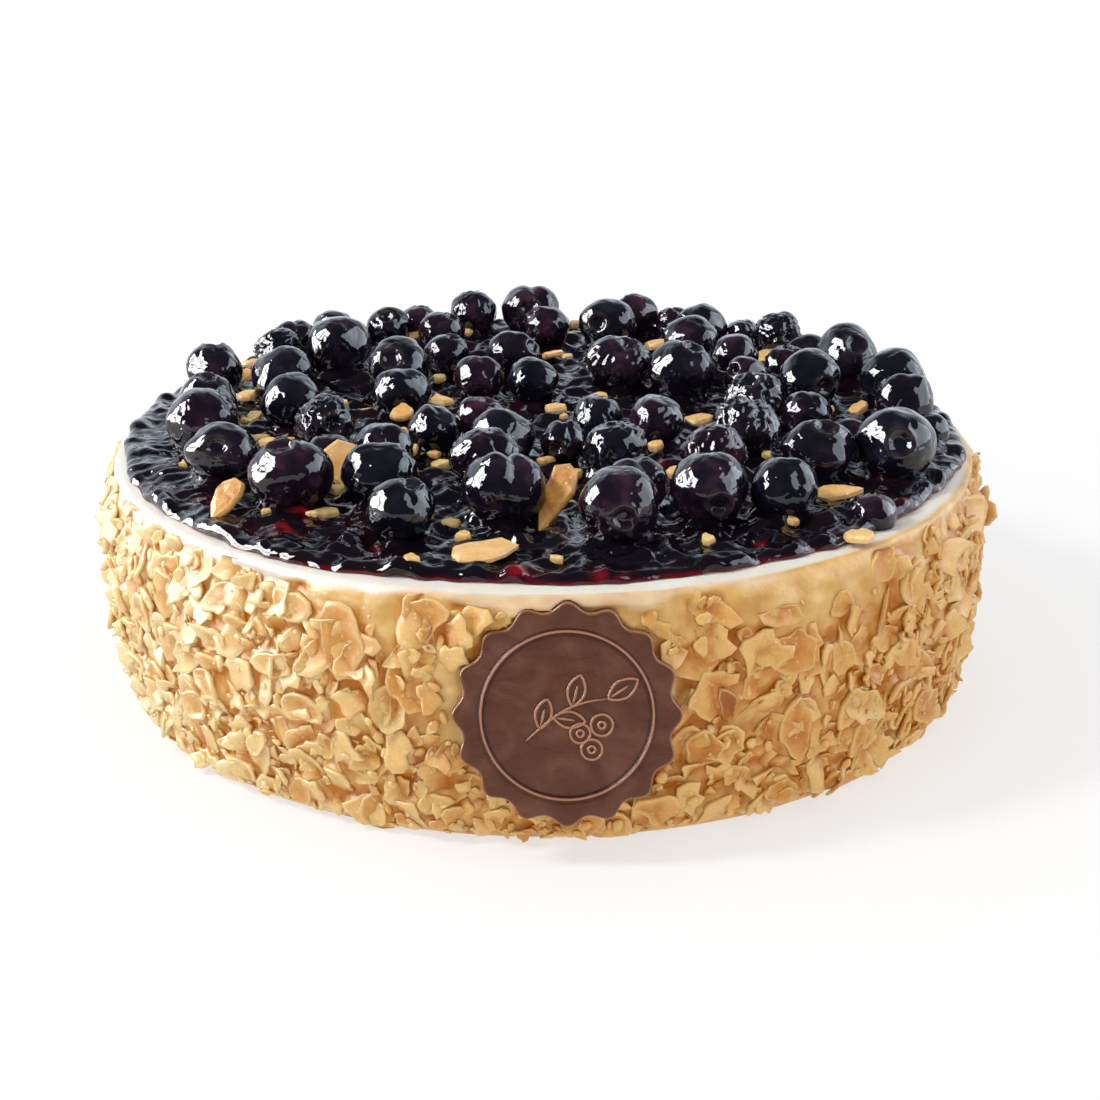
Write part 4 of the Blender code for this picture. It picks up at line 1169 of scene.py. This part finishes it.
rng = random.Random(77)
chip_list = list(TOP_CHIPS)
for _ in range(SPRINKLED_CHIPS):
    angle = rng.random() * math.tau
    radius = 84 * math.sqrt(rng.random())
    size = rng.uniform(1.8, 3.6)
    chip_list.append((radius * math.cos(angle), radius * math.sin(angle), size, size * rng.uniform(0.5, 0.9),
                      rng.uniform(0, 180), rng.uniform(0, 15), rng.uniform(0.15, 0.6)))
chip_points, chip_masks, chip_faces = [], [], []
chip_total = 0
for x, y, length, width, heading, pitch, toast in chip_list:
    x, y = clear_of_berries(x * MM, y * MM, 0.36 * width * MM)
    length, width = length * CHIP_SCALE, width * CHIP_SCALE
    body = chip_body(rng, length * MM, width * MM, CHIP_THICKNESS * min(1, 0.35 + width / 6))
    lift = 0.36 * length * MM * math.sin(math.radians(pitch)) - 0.5 * MM
    level = float(jelly_height(np.array([(x, y, 0.0)]))[0])
    place = (Matrix.Translation((x, y, level + lift)) @ Matrix.Rotation(math.radians(heading), 4, "Z")
             @ Matrix.Rotation(-math.radians(pitch), 4, "Y"))
    chip_faces += ring_faces(len(CHIP_RINGS), CHIP_CORNERS, chip_total)
    chip_total += len(body)
    chip_points.append(transformed(body[:, :3], place))
    chip_masks.append(np.stack([body[:, 3], np.full(len(body), toast)], axis=-1))
chip_rim, chip_toast = np.concatenate(chip_masks).T
top_chips = mesh_piece(
    "almond_chips_on_top", np.concatenate(chip_points), chip_faces, [almond],
    {"rim": chip_rim * 0.4, "toast": chip_toast, "golden": np.full(chip_total, 0.4),
     "depth": np.zeros(chip_total)}, smooth=False)
for piece, slot in ((glaze_sheet, "blueberry_glaze"), (top_chips, "cream_and_almond")):
    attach(piece, "root")
    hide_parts("blueberry_glaze")
print("chips on top:", len(chip_list))

# %% [markdown]
# The seal is milk chocolate cast in a mould: a scalloped rim, a raised ring, and a smooth face with
# faint swirls where the chocolate was spread. Cast chocolate is satin, with a cloudy bloom. A
# plain sprig of leaves and berries stands on it in thin relief.

# %% Chocolate
chocolate, tree, shader = new_material("milk_chocolate", {"IOR": 1.46, "Specular IOR Level": 0.35})
where = add_node(tree, "ShaderNodeTexCoord").outputs["Object"]
swirl = add_node(tree, "ShaderNodeTexNoise", {
    "Vector": where, "Scale": 70.0, "Detail": 3.0, "Distortion": 2.2})
streaks = add_node(tree, "ShaderNodeTexWave", {
    "Vector": where, "Scale": 60.0, "Distortion": 14.0, "Detail": 3.0, "Detail Scale": 1.2},
    wave_type="RINGS", rings_direction="Y")
spots = use_group(tree, mottling, {"Size": 3 * MM, "Fineness": 6.0})
tint = ramp(tree, swirl.outputs["Fac"], (
    (0.3, (0.088, 0.026, 0.010)), (0.5, (0.104, 0.033, 0.014)), (0.72, (0.150, 0.056, 0.032))))
# Painted highlight on raised edges and painted shade in the grooves, read from the masks of the rings.
LIT_EDGE = (0.44, 0.20, 0.115)
PAINTED_CORNER_SHADE = (0.020, 0.006, 0.003)
highlighted = mix_colour(tree, mask(tree, "painted_highlight"), tint, LIT_EDGE)
feed(tree, shader.inputs["Base Color"], mix_colour(tree, mask(tree, "shade"), highlighted, PAINTED_CORNER_SHADE))
feed(tree, shader.inputs["Roughness"], map_range(tree, streaks.outputs["Fac"], 0.0, 1.0, 0.17, 0.34))
swirl_height = math_node(tree, "MULTIPLY", streaks.outputs["Fac"], 0.35)
add_bump(tree, shader, math_node(tree, "ADD", swirl_height, spots.outputs["Height"]), 0.12 * MM)
print("chocolate nodes:", len(tree.nodes))

# %% [markdown]
# The disc is again made of rings of points, from the edge of its back round the rim to the middle of
# its face. Each ring says how much painted highlight and painted shade it takes: raised edges are
# painted bright where they would catch the light, and a groove is painted dark where shadow falls.

# %% Seal
SEAL_COLUMNS = SEAL_SCALLOPS * 16
RING_RADIUS = 17.2 * MM
RING_HALF_WIDTH = 0.36 * MM
RING_HEIGHT = 0.46 * MM
EDGE_ROUNDING = 0.55 * MM
FACE_LEVEL = -0.1 * MM
seal_angle = np.arange(SEAL_COLUMNS) * math.tau / SEAL_COLUMNS
scallop = seal_outline(seal_angle)
seal_rings, painted_highlight_rings, shade_rings = [], [], []


def seal_ring(radius, height, painted_highlight=0.0, shade=0.0):
    seal_rings.append(polar(radius, seal_angle, height))
    painted_highlight_rings.append(np.full(SEAL_COLUMNS, painted_highlight))
    shade_rings.append(np.full(SEAL_COLUMNS, shade))


seal_ring(scallop - 0.3 * MM, -SEAL_THICKNESS)
seal_ring(scallop, -SEAL_THICKNESS + 0.3 * MM)
# Painted highlight on the rounded rim, fading towards the face.
seal_ring(scallop, -EDGE_ROUNDING, 0.4)
for step in range(1, 6):
    turn = math.pi / 2 * step / 5
    inset = EDGE_ROUNDING * (1 - math.cos(turn))
    seal_ring(scallop - inset, -EDGE_ROUNDING * (1 - math.sin(turn)), 1.0 - step / 5)
seal_ring(scallop - 1.4 * MM, 0.0)
seal_ring(RING_RADIUS + 1.3 * MM, 0.0)
seal_ring(RING_RADIUS + RING_HALF_WIDTH + 0.45 * MM, -0.02 * MM)
# Painted shade in the grooves beside the raised ring, painted highlight on its crest.
seal_ring(RING_RADIUS + RING_HALF_WIDTH + 0.12 * MM, -0.12 * MM, shade=0.5)
for step in range(9):
    turn = math.pi * step / 8
    radius = RING_RADIUS + RING_HALF_WIDTH * math.cos(turn)
    seal_ring(radius, RING_HEIGHT * math.sin(turn), math.sin(turn) ** 3, 0.6 * abs(math.cos(turn)) ** 4)
seal_ring(RING_RADIUS - RING_HALF_WIDTH - 0.15 * MM, -0.25 * MM, shade=0.9)
seal_ring(RING_RADIUS - RING_HALF_WIDTH - 0.45 * MM, -0.12 * MM, shade=0.2)
for radius in np.linspace(RING_RADIUS - 1.2 * MM, 1 * MM, 14):
    seal_ring(radius, FACE_LEVEL)
seal_local = np.concatenate([*seal_rings, [(0, 0, -SEAL_THICKNESS), (0, 0, FACE_LEVEL)]])
seal_piece = mesh_piece(
    "chocolate_disc", transformed(seal_local, seal_frame), ring_faces(len(seal_rings), SEAL_COLUMNS),
    [chocolate],
    {"painted_highlight": np.concatenate([*painted_highlight_rings, [0, 0]]), "shade": np.concatenate([*shade_rings, [0, 0]])})
print("seal rings:", len(seal_rings))

# %% [markdown]
# The sprig is drawn with paths: one stem, leaves whose outline is a pair of arcs, and rings for
# berries. Each path becomes a fine round cord, a ring of points at every step, that is half sunk in the
# face. All the cords are joined in one mesh, which takes the same masks as the disc.

# %% Sprig relief
RELIEF_RADIUS = 0.33 * MM
RELIEF_SIDES = 8


def relief_tube(path, closed):
    """Points and faces of a thin round cord along a path in the seal's face."""
    path = np.asarray(path, float)
    count = len(path)
    ahead = np.roll(path, -1, axis=0) if closed else np.vstack([path[1:], path[-1:]])
    back = np.roll(path, 1, axis=0) if closed else np.vstack([path[:1], path[:-1]])
    along = ahead - back
    along /= np.linalg.norm(along, axis=1)[:, None]
    sideways = np.stack([-along[:, 1], along[:, 0]], axis=1)
    shares = np.linspace(0, 1, count)
    taper = np.ones(count) if closed else 0.45 + 0.55 * np.sin(np.pi * shares) ** 0.5
    sides = RELIEF_SIDES
    points = np.zeros((count, sides, 3))
    for k, turn in enumerate(np.arange(sides) * math.tau / sides):
        points[:, k, :2] = path + sideways * (RELIEF_RADIUS * taper * math.cos(turn))[:, None]
        points[:, k, 2] = 1.3 * RELIEF_RADIUS * taper * math.sin(turn) - 0.05 * MM
    faces = []
    for i in range(count if closed else count - 1):
        first = i * sides
        second = ((i + 1) % count) * sides
        for k in range(sides):
            after = (k + 1) % sides
            faces.append((first + k, first + after, second + after, second + k))
    if not closed:
        faces.append(tuple(range(sides))[::-1])
        faces.append(tuple((count - 1) * sides + k for k in range(sides)))
    return points.reshape(-1, 3), faces


def leaf_path(base, tip, fullness):
    """A closed leaf outline: two arcs that meet at the base and the tip."""
    base, tip = np.asarray(base, float), np.asarray(tip, float)
    shares = np.linspace(0, 1, 17)
    spine = base + (tip - base) * shares[:, None]
    sideways = np.array([-(tip - base)[1], (tip - base)[0]])
    bulge = fullness * np.sin(np.pi * shares)[:, None] ** 0.8 * sideways
    return np.concatenate([spine + bulge, (spine - bulge)[-2:0:-1]])


def stem_point(share):
    return np.array([-8.5 + 17 * share, -5.5 + 9 * share + 2.4 * math.sin(math.pi * share)]) * MM


relief_points, relief_faces = [], []
relief_total = 0
paths = [([stem_point(share) for share in np.linspace(0, 1, 25)], False)]
for share, side, length in ((0.18, 1, 6.2), (0.34, -1, 6.4), (0.56, 1, 6.6), (0.98, 0, 7)):
    start = stem_point(share)
    heading = math.radians(34 + 42 * side)
    tip = start + np.array([math.cos(heading), math.sin(heading)]) * length * MM
    paths.append((leaf_path(start, tip, 0.26), True))
    paths.append(([start + (tip - start) * part for part in np.linspace(0.05, 0.7, 9)], False))
for x, y, radius in ((2.6, -3.6, 2.0), (6.9, -1.9, 2.2), (4.9, -6.9, 2.1)):
    turns = np.linspace(0, math.tau, 29)[:-1]
    middle = np.array([x, y]) * MM
    paths.append((middle + radius * MM * np.stack([np.cos(turns), np.sin(turns)], axis=1), True))
    paths.append((middle + 0.7 * MM * np.stack([np.cos(turns), np.sin(turns)], axis=1), True))
for path, closed in paths:
    points, faces = relief_tube(path, closed)
    relief_faces += shifted(faces, relief_total)
    relief_total += len(points)
    relief_points.append(points)
relief_local = np.concatenate(relief_points)
# Painted highlight on the tops of the cords, painted shade where they meet the face.
sprig = mesh_piece("sprig_relief", transformed(relief_local, seal_frame), relief_faces, [chocolate],
                   {"painted_highlight": smoothstep(0.08 * MM, 0.34 * MM, relief_local[:, 2]),
                    "shade": smoothstep(0.12 * MM, -0.08 * MM, relief_local[:, 2])})
for piece in (seal_piece, sprig):
    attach(piece, "root")
    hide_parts("chocolate_seal")
print("cords in the sprig:", len(paths))

# %% [markdown]
# The studio is white: the cake stands on a pale table whose paint glows, a painted light that stands
# in for a table lit from below, as food photographers do to keep shadows light. The glow grows a little
# with distance, so that the table stays white to the horizon, far from the lamps.

# %% Floor
floor_paint, tree, shader = new_material("white_paper", {
    "Base Color": (0.34, 0.34, 0.34, 1), "Roughness": 0.9, "Specular IOR Level": 0.1,
    "Emission Color": (1, 1, 1, 1)})
place = add_node(tree, "ShaderNodeTexCoord").outputs["Object"]
from_cake = add_node(tree, "ShaderNodeVectorMath", {0: place}, operation="LENGTH").outputs["Value"]
# Painted light: the table's glow lightens the cake's shadow and grows away from the cake.
feed(tree, shader.inputs["Emission Strength"], map_range(tree, from_cake, 0.15, 0.7, 0.62, 0.90))
TABLE_HALF_WIDTH = 3
bm = bmesh.new()
bmesh.ops.create_grid(bm, x_segments=2, y_segments=2, size=TABLE_HALF_WIDTH)
floor_mesh = bpy.data.meshes.new("floor")
bm.to_mesh(floor_mesh)
bm.free()
floor_mesh.materials.append(floor_paint)
floor = bpy.data.objects.new("floor", floor_mesh)
bpy.context.scene.collection.objects.link(floor)
print("table width in metres:", 2 * TABLE_HALF_WIDTH)

# %% [markdown]
# A food photographer lights for two things at once. Soft light from the left models the crumb and the
# shadow, with weak fills from the front, the right and above. What the wet berries mirror is separate:
# a window with four panes on the left for the crisp highlights, and a pale wall on the right for the
# broad grey ones. Here each is its own lamp, and a lamp may light surfaces without being mirrored, or
# be mirrored without lighting.

# %% Lights
TARGET = Vector((0, 0, 0.04))


def area_light(name, direction, distance, size, radiance, colour=(1, 1, 1), lights=True, mirrored=True):
    """A rectangular lamp that faces the cake from a direction."""
    light = bpy.data.lights.new(name, "AREA")
    light.shape = "RECTANGLE"
    light.size, light.size_y = size
    light.energy = radiance * math.pi * size[0] * size[1]
    light.color = colour
    lamp = bpy.data.objects.new(name, light)
    lamp.location = TARGET + Vector(direction).normalized() * distance
    lamp.rotation_euler = (TARGET - lamp.location).to_track_quat("-Z", "Y").to_euler()
    lamp.visible_camera = False
    lamp.visible_diffuse = lights
    lamp.visible_glossy = mirrored
    bpy.context.scene.collection.objects.link(lamp)
    return lamp


WARM_WHITE = (1.0, 0.99, 0.97)
area_light("key", (-0.64, -0.20, 0.70), 0.9, (0.16, 0.16), 52, WARM_WHITE, mirrored=False)
area_light("front_fill", (0.2, -0.9, 0.4), 1.4, (1.0, 0.8), 1.35, WARM_WHITE, mirrored=False)
area_light("right_fill", (0.90, -0.30, 0.40), 1.1, (0.45, 0.45), 1.6, mirrored=False)
area_light("top_fill", (0, 0.05, 1), 1.4, (1.6, 1.6), 0.9, mirrored=False)
area_light("right_wall", (0.96, 0.02, 0.36), 1.0, (1.3, 1.1), 4.2, (0.80, 0.88, 1.0), lights=False)
WINDOW_DIRECTION = Vector((-0.93, -0.03, 0.37)).normalized()
WINDOW_DISTANCE = 0.85
PANE = 0.36
PANE_PITCH = 0.40
sideways = WINDOW_DIRECTION.cross(Vector((0, 0, 1))).normalized()
upwards = sideways.cross(WINDOW_DIRECTION)
for column in (-0.5, 0.5):
    for row in (-0.5, 0.5):
        towards = WINDOW_DIRECTION * WINDOW_DISTANCE + (sideways * column + upwards * row) * PANE_PITCH
        area_light(f"window_pane_{column}_{row}", towards, towards.length, (PANE, PANE), 26, lights=False)
print("lamps:", len(bpy.data.lights))

# %% [markdown]
# The world round the cake is seen in three ways. The camera sees plain white. Light that spreads from
# it is soft and even. A mirrored ray sees a dim cool room with the bright paper low down behind the
# cake, which gives the back of each berry its pale edge.

# %% World
world = bpy.data.worlds.new("white_studio")
bpy.context.scene.world = world
world.use_nodes = True
sky = world.node_tree
ambient = sky.nodes["Background"]
ambient.inputs["Color"].default_value = (0.97, 0.98, 1.0, 1)
ambient.inputs["Strength"].default_value = 0.39
path = add_node(sky, "ShaderNodeLightPath")
way = add_node(sky, "ShaderNodeSeparateXYZ", {0: add_node(sky, "ShaderNodeTexCoord").outputs["Generated"]})
behind = map_range(sky, way.outputs["Y"], -0.3, 0.4)
low_down = map_range(sky, way.outputs["Z"], 0.75, 0.35)
PAPER_STRENGTH = 1.45
ROOM_STRENGTH = 0.10
paper = math_node(sky, "MULTIPLY", behind, low_down)
brightness = math_node(sky, "MULTIPLY_ADD", paper, PAPER_STRENGTH, ROOM_STRENGTH)
mirrored_room = add_node(sky, "ShaderNodeBackground", {
    "Color": (0.80, 0.89, 1.0, 1), "Strength": brightness})
unseen = add_node(sky, "ShaderNodeMixShader", {0: path.outputs["Is Glossy Ray"], 1: ambient.outputs[0],
                                               2: mirrored_room.outputs[0]})
white = add_node(sky, "ShaderNodeBackground", {"Color": (1, 1, 1, 1), "Strength": 1.0})
seen = add_node(sky, "ShaderNodeMixShader", {0: path.outputs["Is Camera Ray"], 1: unseen.outputs[0],
                                             2: white.outputs[0]})
feed(sky, sky.nodes["World Output"].inputs["Surface"], seen.outputs[0])
print("world nodes:", len(sky.nodes))

# %% [markdown]
# The camera stands where the photographer's did: an 85 mm lens, 61 cm away and 20.6 degrees above
# the table, aimed at the cake's middle. Standard colour keeps the paper white.

# %% Camera
CAMERA_DISTANCE = 0.6136
CAMERA_ELEVATION = math.radians(20.6)
AIM_HEIGHT = 28 * MM
# The cake stands a few pixels left of the middle of the frame, which is 1100 pixels wide.
SHIFT_PIXELS = 6.5
FRAME_PIXELS = 1100
lens = bpy.data.cameras.new("camera")
lens.lens = 85
lens.sensor_width = 36
lens.shift_x = SHIFT_PIXELS / FRAME_PIXELS
camera = bpy.data.objects.new("camera", lens)
camera.location = (0, -CAMERA_DISTANCE * math.cos(CAMERA_ELEVATION),
                   AIM_HEIGHT + CAMERA_DISTANCE * math.sin(CAMERA_ELEVATION))
camera.rotation_euler = (math.pi / 2 - CAMERA_ELEVATION, 0, 0)
bpy.context.scene.collection.objects.link(camera)
bpy.context.scene.camera = camera
bpy.context.scene.view_settings.view_transform = "Standard"
bpy.context.scene.view_settings.look = "None"
print("camera:", camera.location)
